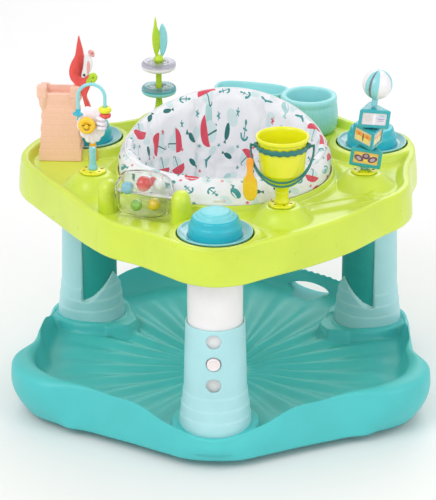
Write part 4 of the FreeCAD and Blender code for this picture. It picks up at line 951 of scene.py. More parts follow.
def build_seat():
    angles = np.linspace(0, TAU, SEAT_AROUND, endpoint=False)
    controls = seat_profile(angles)
    rings, lengths = [], np.zeros(SEAT_AROUND)
    walked = []
    before = None
    for row in range(SEAT_ROWS):
        share = row / (SEAT_ROWS - 1)
        ring = catmull(controls, share)
        if before is not None:
            lengths = lengths + np.hypot(*(ring - before).T)
        before = ring
        walked.append(lengths.mean())
        radius, height = ring[:, 0].copy(), ring[:, 1]
        inner = smoothstep(0.60, 0.66, share) * (1 - smoothstep(0.90, 0.98, share))
        for seam in (68, 112, 205, 335):
            gap = np.abs(np.mod(np.degrees(angles) - seam + 180, 360) - 180)
            radius += inner * 0.0030 * np.exp(-(gap / 1.3) ** 2) - inner * 0.0025 * np.exp(-((gap - 6) / 4.5) ** 2)
        rings.append(np.stack([radius * np.cos(angles), radius * np.sin(angles), height], axis=1))
    seat = polar_piece("seat_pad", rings, None, close_ends=False)
    rim_length = walked[int(RIM_ROW_SHARE * (SEAT_ROWS - 1))]
    flat = np.array(walked) - rim_length
    mesh = seat.data
    layer = mesh.uv_layers.new(name="cloth")
    step = CELL * CELLS_ROUND / SEAT_AROUND
    for face in mesh.polygons:
        columns = [mesh.loops[loop].vertex_index % SEAT_AROUND for loop in face.loop_indices]
        wraps = max(columns) - min(columns) > SEAT_AROUND / 2
        for loop, column in zip(face.loop_indices, columns):
            row = mesh.loops[loop].vertex_index // SEAT_AROUND
            if wraps and column < SEAT_AROUND / 2:
                column += SEAT_AROUND
            layer.data[loop].uv = (column * step + 1.0, flat[row] * 1.0 + 2.0)
    inflate(seat)
    subdivided(seat, 1)
    for side in (-1, 1):
        aim = Vector((side * 0.15, -0.75, 0.1)).normalized()
        start = Vector((side * 0.062, -0.010, 0.253))
        turn = aim.to_track_quat("Z", "Y").to_matrix().to_4x4()
        tool = lathe("leg_hole_tool", [(0.052, 0.0), (0.052, 0.26)], Matrix.Translation(start) @ turn, 64)
        cut_with(seat, tool)
    seat.data.shade_smooth()
    seat.data.materials.clear()
    seat.data.materials.append(MATERIALS["seat_print"])
    patch = lathe("seat_patch", rounded([(0.0005, 0.2615), (0.034, 0.2615), (0.036, 0.2630), (0.036, 0.2760),
                                         (0.034, 0.2775), (0.0005, 0.2775)], 0.0015), Matrix.Identity(4), 64,
                  MATERIALS["patch_cloth"])
    settle(patch, "seat", slot="seat_print")
    top = catmull(controls, (RIM_ROW_SHARE * 20 - 0.55) / 20)
    path = [Vector((top[i, 0] * math.cos(a), top[i, 0] * math.sin(a), top[i, 1] + 0.0002))
            for i, a in enumerate(angles)]
    piping = tube("seat_piping", path, 0.0012, extra_plastic("piping_white", (0.80, 0.80, 0.82), rough=0.8,
                                                             grain=0.5), sides=10, closed=True)
    settle(piping, "seat", slot="seat_print")
    settle(seat, "seat", "seat_fabric")


def inflate(seat):
    """Fills the padding with Blender's cloth solver; seams, hem and rim stay where they are sewn."""
    start = np.empty(len(seat.data.vertices) * 3)
    seat.data.vertices.foreach_get("co", start)
    start = start.reshape(-1, 3)
    rows = np.arange(len(start)) // SEAT_AROUND
    share = rows / (SEAT_ROWS - 1)
    turn = np.degrees(np.arctan2(start[:, 1], start[:, 0]))
    sewn = (share < 0.42) | (np.abs(share - RIM_ROW_SHARE) < 0.012) | (share > 0.93)
    for seam in (68, 112, 205, 335):
        gap = np.abs(np.mod(turn - seam + 180, 360) - 180)
        sewn |= (gap < 1.0) & (share > 0.62)
    group = seat.vertex_groups.new(name="sewn")
    group.add([int(index) for index in np.nonzero(sewn)[0]], 1.0, "REPLACE")
    cloth = seat.modifiers.new("padding", "CLOTH")
    settings = cloth.settings
    settings.quality = 4
    settings.mass = 0.25
    settings.use_pressure = True
    settings.uniform_pressure_force = 3.0
    settings.effector_weights.gravity = 0.0
    settings.tension_stiffness = 12
    settings.compression_stiffness = 10
    settings.shear_stiffness = 5
    settings.bending_stiffness = 0.3
    settings.shrink_min = -0.035
    settings.vertex_group_mass = "sewn"
    cloth.collision_settings.use_collision = False
    scene = bpy.context.scene
    for number in range(1, 19):
        scene.frame_set(number)
    graph = bpy.context.evaluated_depsgraph_get()
    result = seat.evaluated_get(graph).to_mesh()
    end = np.empty(len(result.vertices) * 3)
    result.vertices.foreach_get("co", end)
    seat.evaluated_get(graph).to_mesh_clear()
    shift = end.reshape(-1, 3) - start
    length = np.linalg.norm(shift, axis=1, keepdims=True)
    cap = 0.0045
    shift = shift * np.minimum(1.0, cap / np.maximum(length, 1e-9))
    seat.modifiers.clear()
    scene.frame_set(1)
    seat.data.vertices.foreach_set("co", (start + shift).ravel())
    seat.data.update()


# ---------------------------------------------------------------- toys on the left

def rounded_box(name, low, high, radius, material=None, segments=3):
    """Box with rounded edges."""
    low, high = Vector(low), Vector(high)
    solid = bmesh.new()
    bmesh.ops.create_cube(solid, size=1.0)
    for vertex in solid.verts:
        vertex.co = Vector([low[i] + (vertex.co[i] + 0.5) * (high[i] - low[i]) for i in range(3)])
    bmesh.ops.bevel(solid, geom=solid.edges, offset=radius, segments=segments, profile=0.5, affect="EDGES")
    mesh = bpy.data.meshes.new(name)
    solid.to_mesh(mesh)
    solid.free()
    piece = bpy.data.objects.new(name, mesh)
    bpy.context.collection.objects.link(piece)
    mesh.shade_smooth()
    if material:
        mesh.materials.append(material)
    return piece


def voxelled(piece, voxel, passes):
    remesh = piece.modifiers.new("voxels", "REMESH")
    remesh.mode = "VOXEL"
    remesh.voxel_size = voxel
    smooth = piece.modifiers.new("soften", "SMOOTH")
    smooth.iterations = passes
    apply_modifiers(piece)
    piece.data.shade_smooth()
    return piece


def slab(name, outline, thickness, bulge=0.3, material=None, place=Matrix.Identity(4), rows=7):
    """Plump plate in the XZ plane: outline is a smooth closed line of (x, z), swollen towards its middle."""
    outline = np.array(outline, float)
    centre = outline.mean(axis=0)
    rings = []
    for turn in np.linspace(-1, 1, 2 * rows + 1):
        angle = turn * math.pi / 2
        inset = 1 - bulge * (1 - math.cos(angle))
        depth = thickness / 2 * math.sin(angle)
        ring = centre + (outline - centre) * inset
        rings.append([place @ Vector((x, depth, z)) for x, z in ring])
    return polar_piece(name, [np.array(ring) for ring in rings], material)


def smooth_outline(points, count=96):
    """Closed Catmull-Rom line through (x, z) points."""
    points = np.array(points, float)
    total = len(points)
    result = []
    for share in np.linspace(0, total, count, endpoint=False):
        index = int(share)
        t = share - index
        p0, p1, p2, p3 = (points[(index + step) % total] for step in (-1, 0, 1, 2))
        result.append(0.5 * (2 * p1 + (p2 - p0) * t + (2 * p0 - 5 * p1 + 4 * p2 - p3) * t ** 2
                             + (3 * p1 - p0 - 3 * p2 + p3) * t ** 3))
    return result


def build_castle():
    low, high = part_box("castle_tower")
    x, y = (low.x + high.x) / 2, (low.y + high.y) / 2
    half = (high.x - low.x) / 2
    deep = (high.y - low.y) / 2
    floor, top = low.z, high.z
    neck = floor + 0.112
    solid = bmesh.new()
    rows = [(1.0, floor), (0.90, floor + 0.040), (0.835, floor + 0.080), (0.80, neck), (0.84, neck + 0.010),
            (0.86, top - 0.016)]
    corners = []
    for share, z in rows:
        corners.append([solid.verts.new((x + sx * half * share, y + sy * deep * share, z))
                        for sx, sy in ((-1, -1), (1, -1), (1, 1), (-1, 1))])
    for lower, upper in zip(corners, corners[1:]):
        for index in range(4):
            after = (index + 1) % 4
            solid.faces.new((lower[index], lower[after], upper[after], upper[index]))
    solid.faces.new(list(reversed(corners[0])))
    solid.faces.new(corners[-1])
    mesh = bpy.data.meshes.new("castle_body")
    solid.to_mesh(mesh)
    solid.free()
    body = bpy.data.objects.new("castle_body", mesh)
    bpy.context.collection.objects.link(body)
    reach = half * 0.86
    depth = deep * 0.86
    pieces = [body]
    for side in (-1, 1):
        for face in (-1, 1):
            cx, cy = x + side * (half - 0.010), y + face * (deep - 0.009)
            head = top - (0.0 if face < 0 else 0.013)
            pieces.append(rounded_box("knob", (cx - 0.0098, cy - 0.0088, top - 0.026),
                                      (cx + 0.0098, cy + 0.0088, head), 0.0042, segments=4))
            brace = lathe("brace", [(0.0088, 0.0), (0.0080, -0.008), (0.0050, -0.022), (0.0020, -0.034)],
                          at(cx - side * 0.001, cy, top - 0.024), 24)
            pieces.append(brace)
    castle = joined("castle_moulding", pieces)
    voxelled(castle, 0.0011, 3)
    well = rounded_box("well", (x - reach + 0.007, y - depth + 0.006, top - 0.030),
                       (x + reach - 0.007, y + depth - 0.007, top + 0.02), 0.002)
    cut_with(castle, well)

    def bricks(points, normals):
        z = (points[:, 2] - floor) / 0.0118
        course = np.floor(z)
        bed = np.abs(z - np.round(z)) * 0.0118
        run = np.where(np.abs(normals[:, 0]) > np.abs(normals[:, 1]), points[:, 1], points[:, 0])
        slot = (run + course * 0.0085) / 0.017
        joint = np.abs(slot - np.round(slot)) * 0.017
        groove = np.exp(-(bed / 0.0007) ** 2) + 0.8 * np.exp(-(joint / 0.0007) ** 2)
        upright = np.clip(1 - np.abs(normals[:, 2]) * 1.5, 0, 1) * (1 - smoothstep(top - 0.04, top - 0.032, points[:, 2]))
        jagged = 0.0009 * np.where(np.mod(course, 2) > 0.5, 1.0, -1.0)
        edge = smoothstep(0.74, 0.86, np.abs(points[:, 0] - x) / half) * smoothstep(0.5, 0.8, np.abs(normals[:, 0]))
        return points + normals * (upright * (-0.0006 * np.minimum(groove, 1) + jagged * edge))[:, None]

    reshape(castle, bricks)
    castle.data.shade_smooth()
    castle.data.materials.clear()
    castle.data.materials.append(MATERIALS["toy_peach"])
    settle(castle, "tray", "castle_tower")


def build_figure():
    low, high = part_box("flame_figure")
    y = (low.y + high.y) / 2
    stalk_low, stalk_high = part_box("figure_stalk")
    base_x = (stalk_low.x + stalk_high.x) / 2
    base_z = low.z

    def spot(pairs):
        return [(base_x + px / 1000, base_z + pz / 1000) for px, pz in pairs]

    body = smooth_outline(spot([(-4, 1), (4, 1), (4, 22), (-2, 46), (-9, 68), (-3, 86), (2, 104), (-6, 112),
                                (-15, 104), (-19, 112), (-15, 130), (-13, 152), (-18, 176), (-22, 189),
                                (-26, 172), (-30, 150), (-38, 134), (-42, 118), (-39, 102), (-27, 88),
                                (-19, 72), (-13, 48), (-5, 22)]), 160)
    pieces = [slab("flame_body", body, 0.0086, 0.10, MATERIALS["toy_red"], at(0, y, 0))]
    pale = smooth_outline(spot([(-20, 106), (-9, 108), (1, 122), (3, 140), (-6, 152), (-13, 148), (-18, 130)]), 60)
    pieces.append(slab("flame_fin", pale, 0.0066, 0.16, MATERIALS["toy_white"], at(0, y, 0)))
    stripe = smooth_outline(spot([(-7, 112), (-2, 120), (-1, 134), (-5, 142), (-8, 130)]), 40)
    pieces.append(slab("flame_fin_stripe", stripe, 0.0078, 0.25, MATERIALS["toy_pink"], at(0, y, 0)))
    crest = smooth_outline(spot([(-2, 150), (6, 147), (7, 156), (1, 161), (-5, 158)]), 40)
    pieces.append(slab("flame_crest", crest, 0.0060, 0.2, MATERIALS["toy_pink"], at(0, y, 0)))
    wing = smooth_outline(spot([(-13, 96), (-4, 90), (8, 98), (12, 108), (5, 116), (-6, 110)]), 40)
    pieces.append(slab("flame_wing", wing, 0.0088, 0.3, MATERIALS["toy_lime"], at(0, y, 0)))
    figure = joined("flame_moulding", pieces)
    settle(figure, "figure", "flame_figure")
    dots = []
    for px, pz, radius in ((-13, 112, 2.6), (4, 107, 1.5), (1, 99, 1.2), (3, 155, 1.2)):
        spots = lathe("figure_dot", [(0.0, -1), (0.7, -0.7), (1.0, 0), (0.7, 0.7), (0.0, 1)], Matrix.Identity(4), 20)
        spots.data.transform(Matrix.Scale(radius / 1000, 4))
        spots.data.transform(at(base_x + px / 1000, y - 0.0040, base_z + pz / 1000))
        spots.data.materials.append(MATERIALS["toy_dark"])
        dots.append(spots)
    beads = joined("figure_dots", dots)
    settle(beads, "figure", "figure_beads")
    stalk_height = stalk_high.z - stalk_low.z
    profile = [(0.0088, 0), (0.0090, 0.004), (0.0080, 0.018), (0.0055, 0.040), (0.0040, stalk_height - 0.004),
               (0.0036, stalk_height - 0.0005), (0.0005, stalk_height)]
    stalk = lathe("figure_stalk_cone", rounded(profile, 0.004), at(base_x, (stalk_low.y + stalk_high.y) / 2,
                                                                   stalk_low.z), 40, MATERIALS["toy_orange"])
    settle(stalk, "tray", "figure_stalk")


def petals(name, spot, radius, count, material, thickness=0.0055, hub=0.55):
    """Flower-shaped base ring of a toy, as a lathe with a rippled edge."""
    profile = [(radius * 0.90, 0.0), (radius, thickness * 0.25), (radius * 0.985, thickness * 0.6),
               (radius * 0.86, thickness * 0.92), (radius * hub * 1.15, thickness * 0.80),
               (radius * hub, thickness * 1.0), (radius * hub * 0.9, thickness * 1.04), (0.0005, thickness * 1.04)]

    def ripple(angle, row):
        depth = (0.07, 0.07, 0.07, 0.07, 0.03, 0, 0, 0)[row]
        return 1 - depth + depth * abs(math.cos(angle * count / 2))
    return lathe(name, profile, at(*spot), 128, material, ripple=ripple)


def build_base_rings():
    low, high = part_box("toy_base_rings")
    level = low.z
    pieces = []
    for index, (node, spot) in enumerate(TOY_SPOTS.items()):
        ring = petals("base_ring", (spot.x, spot.y, level), 0.0250, 6, MATERIALS["toy_yellow"])
        pieces.append(ring)
        for turn in range(6):
            angle = math.radians(turn * 60 + 20 + index * 13)
            # Each slit is shown by a dark box set into the ring: painted shade inside the slit.
            slit = rounded_box("ring_slit_shade", (0.0150, -0.0011, 0.0), (0.0200, 0.0011, 0.0062), 0.0005,
                               MATERIALS["slit_painted_shade"])
            slit.data.transform(at(spot.x, spot.y, level - 0.0005) @ Matrix.Rotation(angle, 4, "Z"))
            pieces.append(slit)
    settle(joined("base_ring_mouldings", pieces), "tray", "toy_base_rings")


def build_bead_toy():
    stem = middle("bead_toy_stem")
    low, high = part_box("bead_toy_stem")
    x, y = stem.x, stem.y
    profile = [(0.0088, 0), (0.0090, 0.003), (0.0070, 0.009), (0.0066, 0.014), (0.0066, high.z - low.z - 0.001),
               (0.0005, high.z - low.z)]
    post = lathe("bead_stem_post", rounded(profile, 0.003), at(x, y, low.z), 48, MATERIALS["toy_sky"])
    settle(post, "tray", "bead_toy_stem")
    plate_low, plate_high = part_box("shell_panel")
    centre = (plate_low.z + plate_high.z) / 2 + 0.004
    half = (plate_high.x - plate_low.x) / 2
    rows, around = 26, 180
    rings = []
    for step in np.linspace(-1, 1, 2 * rows + 1):
        lean = step * math.pi / 2
        ring = []
        for index in range(around):
            angle = TAU * index / around
            fan = (math.sin(angle) + 1) / 2
            rib = abs(math.cos(angle * 6.5 + 0.4))
            edge = half * (0.90 + 0.08 * rib)
            tall = edge * (1.12 + 0.10 * (1 - fan))
            inset = math.cos(lean) ** 0.6
            px, pz = edge * math.cos(angle) * inset * (0.72 + 0.28 * fan ** 0.7), tall * math.sin(angle) * inset
            swell = 0.0055 * math.sin(lean) * (0.75 + 0.25 * rib * inset)
            ring.append((x + px, y + swell, centre + pz))
        rings.append(np.array(ring))
    shell = polar_piece("shell_moulding", rings, MATERIALS["toy_pearl"])
    heart = []
    for side, lift in ((1, 0.004), (1, 0.013), (1, -0.005)):
        fold = lathe("shell_fold", [(0.0005, -0.0045), (0.0075, -0.0035), (0.0110, 0.0), (0.0075, 0.0035),
                                    (0.0005, 0.0045)], Matrix.Identity(4), 40, MATERIALS["toy_pearl"],
                     ripple=lambda angle, row: 1 + 0.05 * math.cos(angle * 9))
        fold.data.transform(at(x + 0.0170, y - 0.0040, centre + lift, 12, "Y"))
        heart.append(fold)
    settle(joined("shell_moulding", [shell] + heart), "tray", "shell_panel")
    arch_low, arch_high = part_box("bead_arch")
    reach = (arch_high.x - arch_low.x) / 2 - 0.0032
    crown = arch_high.z - 0.0032 - reach
    path = [(x - reach, y, arch_low.z + 0.002)]
    path += [(x - reach, y, arch_low.z + 0.012), (x - reach, y, crown - 0.006)]
    for turn in np.linspace(180, 0, 26):
        angle = math.radians(turn)
        path.append((x + reach * math.cos(angle), y, crown + reach * math.sin(angle)))
    path += [(x + reach, y, crown - 0.006), (x + reach, y, arch_low.z + 0.012), (x + reach, y, arch_low.z + 0.002)]
    wire = tube("arch_wire", path, 0.0032, MATERIALS["toy_sky"], sides=20)
    flange = lathe("arch_flange", rounded([(0.0036, 0), (0.0095, 0.0), (0.0105, 0.002), (0.0090, 0.0045),
                                           (0.0055, 0.0055), (0.0045, 0.011), (0.0034, 0.0115)], 0.001),
                   at(x - reach, y, centre + 0.018), 40, MATERIALS["toy_blue"])
    collar = lathe("arch_collar", rounded([(0.0034, 0), (0.0085, 0), (0.0110, 0.003), (0.0110, 0.006),
                                           (0.0085, 0.009), (0.0034, 0.009)], 0.0012),
                   at(x + reach, y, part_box("arch_bead")[0].z - 0.0095), 40, MATERIALS["toy_red"])
    settle(joined("arch_moulding", [wire, flange, collar]), "tray", "bead_arch")
    bead_low, bead_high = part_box("arch_bead")
    tall = bead_high.z - bead_low.z
    bead = lathe("arch_bead_cap", rounded([(0.0045, 0.0006), (0.0092, 0.0), (0.0119, tall * 0.3), (0.0119, tall * 0.62),
                                           (0.0098, tall * 0.95), (0.0048, tall)], 0.0022),
                 at((bead_low.x + bead_high.x) / 2, y, bead_low.z), 48, MATERIALS["toy_yellow"], closed=True)
    settle(bead, "arch_bead", "arch_bead")
    smile = middle("smile_bead")
    smile_low, smile_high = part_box("smile_bead")
    radius = (smile_high.x - smile_low.x) / 2
    front = smile_low.y
    face = lathe("smile_disc", rounded([(0.0031, 0.0008), (radius * 0.82, 0.0), (radius, 0.0030), (radius, 0.0065),
                                        (radius * 0.80, 0.0098), (0.0031, 0.0098)], 0.0022),
                 Matrix.Translation((smile.x, front, smile.z)) @ Matrix.Rotation(math.radians(-90), 4, "X"), 72,
                 MATERIALS["toy_sun"], closed=True)
    extras = []
    for offset, lift, size in ((-0.0062, 0.0035, 0.0028), (0.0056, 0.0045, 0.0028)):
        arc = [(smile.x + offset + size * math.cos(a), front - 0.0001, smile.z + lift + size * 0.8 * math.sin(a))
               for a in np.linspace(math.radians(200), math.radians(340), 12)]
        extras.append(tube("smile_eye", arc, 0.00055, MATERIALS["toy_dark"], sides=8))
    arc = [(smile.x + 0.0052 * math.cos(a), front - 0.0001, smile.z - 0.0030 + 0.0042 * math.sin(a))
           for a in np.linspace(math.radians(205), math.radians(335), 16)]
    extras.append(tube("smile_mouth", arc, 0.0006, MATERIALS["toy_dark"], sides=8))
    settle(joined("smile_disc", [face] + extras), "smile_bead", "smile_bead")
    pin_low, pin_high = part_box("smile_bead_pin")
    pin = lathe("smile_pin_head", rounded([(0.0029, 0.0), (0.0029, 0.0118), (0.0042, 0.0121), (0.0040, 0.0134),
                                           (0.0005, 0.0139)], 0.0006),
                Matrix.Translation((smile.x, pin_high.y, smile.z)) @ Matrix.Rotation(math.radians(90), 4, "X"), 32,
                MATERIALS["toy_sun"])
    settle(pin, "tray", "smile_bead_pin")


def build_ring_toy():
    low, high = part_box("ring_toy_stem")
    x, y = (low.x + high.x) / 2, (low.y + high.y) / 2
    top = high.z - low.z
    lower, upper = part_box("stacking_ring_lower"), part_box("stacking_ring_upper")
    flange_low = lower[0].z - low.z
    flange_high = upper[0].z - low.z
    profile = [(0.0118, 0), (0.0120, 0.004), (0.0085, 0.012), (0.0068, 0.024), (0.0058, flange_low - 0.006),
               (0.0095, flange_low - 0.0025), (0.0095, flange_low - 0.0003), (0.0059, flange_low - 0.0002),
               (0.0059, flange_high - 0.006), (0.0095, flange_high - 0.0025), (0.0095, flange_high - 0.0003),
               (0.0059, flange_high - 0.0002), (0.0059, top - 0.016), (0.0095, top - 0.013), (0.0105, top - 0.008),
               (0.0070, top - 0.003), (0.0050, top), (0.0005, top)]
    stem = lathe("ring_stem_post", rounded(profile, 0.0012), at(x, y, low.z), 56, MATERIALS["toy_lime"])
    settle(stem, "tray", "ring_toy_stem")
    for name, body, (ring_low, ring_high), shade, dark in (
            ("lower", "ring_lower", lower, "toy_sky", "ring_stripe"), ("upper", "ring_upper", upper, "toy_white",
                                                                      "ring_lilac")):
        radius = (ring_high.x - ring_low.x) / 2
        tall = ring_high.z - ring_low.z
        outer = rounded([(0.0066, 0.0004), (radius * 0.80, 0.0), (radius * 0.965, tall * 0.18), (radius, tall * 0.36),
                         (radius * 0.995, tall * 0.50), (radius * 0.60, tall * 0.54), (0.0066, tall * 0.50)], 0.003)
        bowl = lathe("ring_bowl_" + name, outer, at(x, y, ring_low.z), 96, MATERIALS[shade], closed=True)
        band = lathe("ring_band_" + name, rounded([(radius * 0.55, tall * 0.53), (radius * 0.998, tall * 0.49),
                                                   (radius * 0.996, tall * 0.62), (radius * 0.55, tall * 0.64)],
                                                  0.0008), at(x, y, ring_low.z), 96, MATERIALS[dark], closed=True)
        cover = lathe("ring_cover_" + name, rounded([(0.0068, tall * 0.60), (radius * 0.990, tall * 0.60),
                                                     (radius * 0.985, tall * 0.76), (radius * 0.86, tall * 0.97),
                                                     (0.0130, tall * 0.93), (0.0068, tall * 0.85)], 0.0030),
                      at(x, y, ring_low.z), 96, MATERIALS["ring_clear"], closed=True)
        settle(joined("ring_moulding_" + name, [bowl, band, cover]), body, "stacking_ring_" + name)
    for name, side, shade in (("lime", 1, "toy_lime"), ("blue", -1, "toy_sky")):
        leaf_low, leaf_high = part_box("leaf_" + name)
        tall = leaf_high.z - leaf_low.z
        base = leaf_low.z - 0.0060
        points = [(0, 0), (6, 10), (9.5, 28), (8, 48), (2, 64), (-1, 82), (-5, 62), (-8.5, 44), (-7, 20)]
        if name == "blue":
            points = [(0, 0), (8, 8), (13, 28), (11, 48), (3, 62), (-3, 50), (-4, 26)]
        tallest = max(z for _, z in points)
        outline = smooth_outline([(px / 1000, pz / tallest * tall * (1 if name == "lime" else 0.82))
                                  for px, pz in points], 70)
        leaf = slab("leaf_moulding_" + name, outline, 0.0056, 0.32, MATERIALS[shade])
        shift = (-0.0045, -0.0015) if name == "lime" else (0.0050, 0.0030)
        leaf.data.transform(at(x + shift[0], y + shift[1], base, 24 * side + 14))
        settle(leaf, "tray", "leaf_" + name)


# ---------------------------------------------------------------- toys on the right

def build_bucket():
    low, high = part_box("toy_bucket")
    x, y = (low.x + high.x) / 2, (low.y + high.y) / 2
    z0, top = low.z, high.z - low.z
    lip = (high.x - low.x) / 2
    body = [(0.0005, 0.0005), (0.016, 0.0008), (0.024, 0.004), (0.0315, 0.010), (0.0368, 0.018), (0.0392, 0.027),
            (0.0400, 0.0285), (0.0408, 0.036), (0.0420, 0.050), (0.0430, 0.068), (0.0436, 0.080), (0.0445, top - 0.010),
            (0.0455, top - 0.0075), (lip - 0.0006, top - 0.0065), (lip, top - 0.0040), (lip - 0.0004, top - 0.0012),
            (lip - 0.0018, top), (lip - 0.0036, top - 0.0006), (0.0425, top - 0.0040), (0.0412, top - 0.012),
            (0.0400, top - 0.020), (0.0390, 0.060), (0.0375, 0.040), (0.0330, 0.022), (0.0240, 0.0135),
            (0.0005, 0.0120)]

    def scallop(angle, row):
        return 1 + (0.010 * abs(math.cos(angle * 9)) if 36 <= row <= 51 else 0.0)

    bucket = lathe("bucket_moulding", flowing(body, 3), at(x, y, z0), 216, MATERIALS["toy_yellow"], ripple=scallop)
    bucket.data.materials.append(MATERIALS["bucket_lower"])
    for face in bucket.data.polygons:
        reach = math.hypot(face.center.x - x, face.center.y - y)
        if face.center.z < z0 + 0.0280 and face.normal.xy.dot(face.center.xy - Vector((x, y))) > -0.001 and reach > 0.01:
            face.material_index = 1
    settle(bucket, "tray", "toy_bucket")
    band_low, band_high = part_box("bucket_band")
    pin_z = (band_low.z + band_high.z) / 2 + 0.0020
    rows = []
    for index in range(168):
        angle = TAU * index / 168
        wave = 0.0010 * math.sin(angle * 20)
        rows.append([(x + r * math.cos(angle), y + r * math.sin(angle), pin_z + dz + wave * k)
                     for r, dz, k in ((0.0446, -0.0048, 1), (0.0464, -0.0052, 1), (0.0472, -0.0030, 1),
                                      (0.0474, 0.0022, 0.6), (0.0468, 0.0044, 1), (0.0456, 0.0046, 1))])
    points = [point for row in rows for point in row]
    faces = []
    for index in range(168):
        after = (index + 1) % 168
        for step in range(6):
            other = (step + 1) % 6
            faces.append((index * 6 + step, index * 6 + other, after * 6 + other, after * 6 + step))
    band = make_object("band_moulding", points, faces, MATERIALS["band_green"])
    parts = [band]
    for side in (-1, 1):
        ear = lathe("band_ear", rounded([(0.0005, 0), (0.0052, 0), (0.0056, 0.0015), (0.0050, 0.0042), (0.0030, 0.0052),
                                         (0.0022, 0.0060), (0.0021, 0.0120), (0.0005, 0.0122)], 0.0007),
                    Matrix.Translation((x + side * 0.0458, y, pin_z)) @ Matrix.Rotation(side * math.pi / 2, 4, "Y"),
                    32, MATERIALS["band_green"])
        parts.append(ear)
    settle(joined("band_moulding", parts), "tray", "bucket_band")
    lean = math.radians(-36.5)
    pivot = Vector((x, y, HANDLE_Z))
    hoops = []
    for drop, thick in ((0.0, 0.0019), (0.0068, 0.0017)):
        line = []
        for turn in np.linspace(180, 360, 60):
            angle = math.radians(turn)
            line.append(Vector((0.0565 * math.cos(angle), 0, (0.0750 - drop) * math.sin(angle))))
        hoops.append(tube("hoop", line, thick, MATERIALS["band_green"], sides=16))
    for side in (-1, 1):
        eye = lathe("hoop_eye", rounded([(0.0023, -0.0021), (0.0048, -0.0021), (0.0050, 0.0), (0.0048, 0.0021),
                                         (0.0023, 0.0021)], 0.0008),
                    Matrix.Translation((side * 0.0562, 0, 0)) @ Matrix.Rotation(math.pi / 2, 4, "Y"), 32,
                    MATERIALS["band_green"], closed=True)
        hoops.append(eye)
    handle = joined("hoop_moulding", hoops)
    handle.data.transform(Matrix.Translation(pivot) @ Matrix.Rotation(lean, 4, "X"))
    peg_turn = math.radians(255)
    peg_way = Vector((math.cos(peg_turn), math.sin(peg_turn), 0))
    peg_root = pivot + Vector((-0.0533, -0.0148, -0.0200))
    peg = lathe("hoop_peg", rounded([(0.0024, -0.0010), (0.0024, 0.0158), (0.0018, 0.0164), (0.0005, 0.0165)], 0.0006),
                Matrix.Translation(peg_root) @ peg_way.to_track_quat("Z", "Y").to_matrix().to_4x4(), 24,
                MATERIALS["toy_orange"])
    settle(joined("hoop_moulding", [handle, peg]), "handle", "bucket_handle")
    outline = smooth_outline([(px / 1000, pz / 1000) for px, pz in
                              ((0, 7), (5.5, 4.5), (6.5, -2), (5.8, -16), (7.2, -26), (12.5, -36), (13.6, -50),
                               (12.5, -64), (7, -72.5), (0, -75), (-7, -72.5), (-12.5, -64), (-13.6, -50),
                               (-12.5, -36), (-7.2, -26), (-5.8, -16), (-6.5, -2), (-5.5, 4.5))], 110)
    blade = slab("shovel_moulding", outline, 0.0049, 0.16, MATERIALS["shovel_orange"])
    turn = Matrix.Translation(peg_root) @ Matrix.Rotation(peg_turn, 4, "Z")
    blade.data.transform(turn @ Matrix.Translation((0.0125, 0, 0)) @ Matrix.Rotation(math.pi / 2, 4, "Z"))

    def dish(points, normals):
        local = points[:, 2] - peg_root.z
        hollow = smoothstep(0.026, 0.038, -local) * (1 - smoothstep(0.062, 0.073, -local))
        return points - np.array([peg_way.x, peg_way.y, 0]) * (0.0012 * hollow)[:, None]

    reshape(blade, dish)
    settle(blade, "shovel", "toy_shovel")
    stem_low, stem_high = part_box("bucket_stem")
    tall = stem_high.z - stem_low.z
    stem = lathe("bucket_stem_post", rounded([(0.0138, 0), (0.0140, 0.0025), (0.0122, 0.007), (0.0118, 0.013),
                                              (0.0118, 0.0165), (0.0126, 0.0175), (0.0126, 0.0200), (0.0118, 0.0215),
                                              (0.0124, tall - 0.006), (0.0138, tall - 0.0003), (0.0005, tall)],
                                             0.0015), at(x, y, stem_low.z), 56, MATERIALS["toy_yellow"])
    settle(stem, "tray", "bucket_stem")


def picture(name, paint):
    """Printed card of a picture frame: paint adds flat colour shapes over an ivory ground."""
    s = Shader(name)
    place = s.uv()
    colour = s.mix(s.noise(place, 4.0), paint["ground"], tone(paint["ground"], 0.92))
    for ink, spot, size, angle, shape in paint["shapes"]:
        colour = s.mix(motif(s, place, spot, size, angle, shape), colour, ink)
    s.link(colour, s.bsdf.inputs["Base Color"])
    s.bsdf.inputs["Roughness"].default_value = 0.22
    s.bsdf.inputs["Coat Weight"].default_value = 0.5
    s.link(s.bump(s.noise(place, 120.0), 0.05, 0.0005), s.bsdf.inputs["Normal"])
    return s.material


